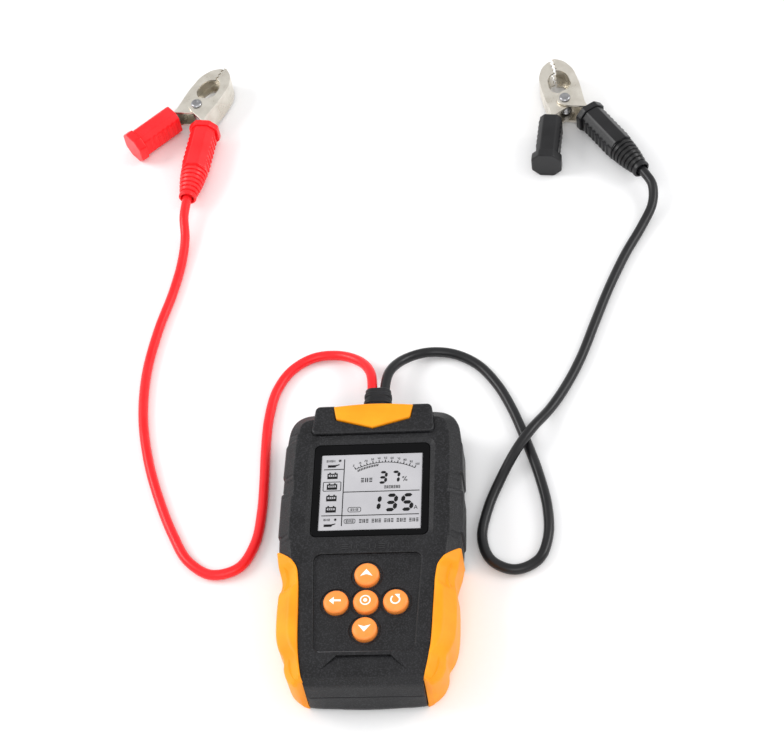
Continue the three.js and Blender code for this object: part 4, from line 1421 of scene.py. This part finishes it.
def make_jaw(colour, name, body, low, high, overturned):
    back = rounded_path(JAW_BACK + [along_arm(22)], 3, 4)
    inside = rounded_path([along_arm(22, -SHEET), along_arm(0.4, -SHEET)] + JAW_INSIDE, 3, 4)
    jaw = sheet(f"{colour}_{name}_channel", back + inside, low, high)
    shoulder = rounded_path(JAW_BACK, 3, 4)
    wall = shoulder[:-1] + rounded_path(JAW_THROAT, 1.8, 4) + [Vector(p) for p in JAW_TEETH]
    walls = [
        sheet("wall", wall, low + 0.01, low + SHEET), sheet("wall", wall, high - SHEET, high - 0.01),
    ]
    combine(jaw, walls, "UNION")
    combine(jaw, [prism("hole", circle(0, 0, 1.85, 32))])
    set_clamp(jaw, colour, overturned)
    return finished(shaded(jaw, 36), body, "jaw_nickel", [f"{colour}_{name}"])


def make_rivet(colour):
    """A rivet with a hollow pressed into each of its rolled heads."""
    profile = [
        (0, 0.55), (0.9, 0.5), (1.35, 0.28), (1.8, 0.2), (2.35, 0.27), (2.8, 0.6), (3, 1.0), (2.95, 1.2),
        (1.5, 1.25),
    ]
    profile += [(radius, CLAMP_HEIGHT - height) for radius, height in reversed(profile)]
    rivet = lathe(f"{colour}_rolled_rivet", profile, 0, 0, 40)
    set_clamp(rivet, colour)
    return finished(shaded(rivet), "root", "steel", [f"{colour}_pivot_rivet"])


def make_spring(colour):
    """A torsion spring: close turns of wire round the rivet, and one leg along the fixed jaw."""
    wire, radius, low, high, turns = 0.58, 2.9, 5.5, 11.5, 5
    steps = 28
    line = [Vector((9.2, -4.3, low)), Vector((4.4, -4.3, low)), Vector((3.2, -3.9, low))]
    start = math.radians(-62)
    for step in range(turns * steps + 1):
        turn = start - 2 * math.pi * step / steps
        height = low + (high - low) * step / (turns * steps)
        line.append(Vector((radius * math.cos(turn), radius * math.sin(turn), height)))
    spring = tube(f"{colour}_torsion_spring", [place * MM for place in line], wire * MM, 3)
    set_clamp(spring, colour)
    return finished(spring, "root", "steel", [f"{colour}_clamp_spring"])


def make_clamp(colour):
    """All of a clamp's pieces; its crimp sleeve stays as it was packed."""
    return [
        make_lead_handle(colour),
        make_free_handle(colour),
        make_jaw(colour, "fixed_jaw", "root", 1.5, 15.5, True),
        make_jaw(colour, "moving_jaw", f"{colour}_free_half", 3, 14, False),
        make_rivet(colour),
        make_spring(colour),
        nodes[f"{colour}_crimp_sleeve"],
    ]


clamps = {colour: make_clamp(colour) for colour in ("red", "black")}


# ---------------------------------------------------------------- floor and light

LIGHTS_AIM = Vector((0, 0.1, 0))


def make_stage():
    mesh = bpy.data.meshes.new("floor")
    reach = 6.0
    corners = [(-reach, -reach, 0), (reach, -reach, 0), (reach, reach, 0), (-reach, reach, 0)]
    mesh.from_pydata(corners, [], [(0, 1, 2, 3)])
    floor = new_piece("floor", mesh)
    mesh.materials.append(surface("floor", "f7f7f7", "f3f3f4", 0.7, patch=6, grain=300, bump=0.02))
    world = bpy.data.worlds.new("studio")
    world.use_nodes = True
    sky = world.node_tree.nodes["Background"].inputs
    sky["Color"].default_value = (1, 1, 1, 1)
    sky["Strength"].default_value = 0.8
    scene.world = world
    for name, place, size, power in (
        ("left_light", (-1.3, 0.3, 1.0), 0.8, 12),
        ("right_light", (1.3, 0.4, 0.9), 0.7, 8),
        ("front_light", (0.1, -1.0, 1.4), 0.9, 7),
    ):
        data = bpy.data.lights.new(name, "AREA")
        data.shape = "SQUARE"
        data.size = size
        data.energy = power
        light = new_piece(name, data)
        light.location = place
        light.rotation_euler = (LIGHTS_AIM - Vector(place)).to_track_quat("-Z", "Y").to_euler()
    scene.view_settings.view_transform = "Standard"


make_stage()
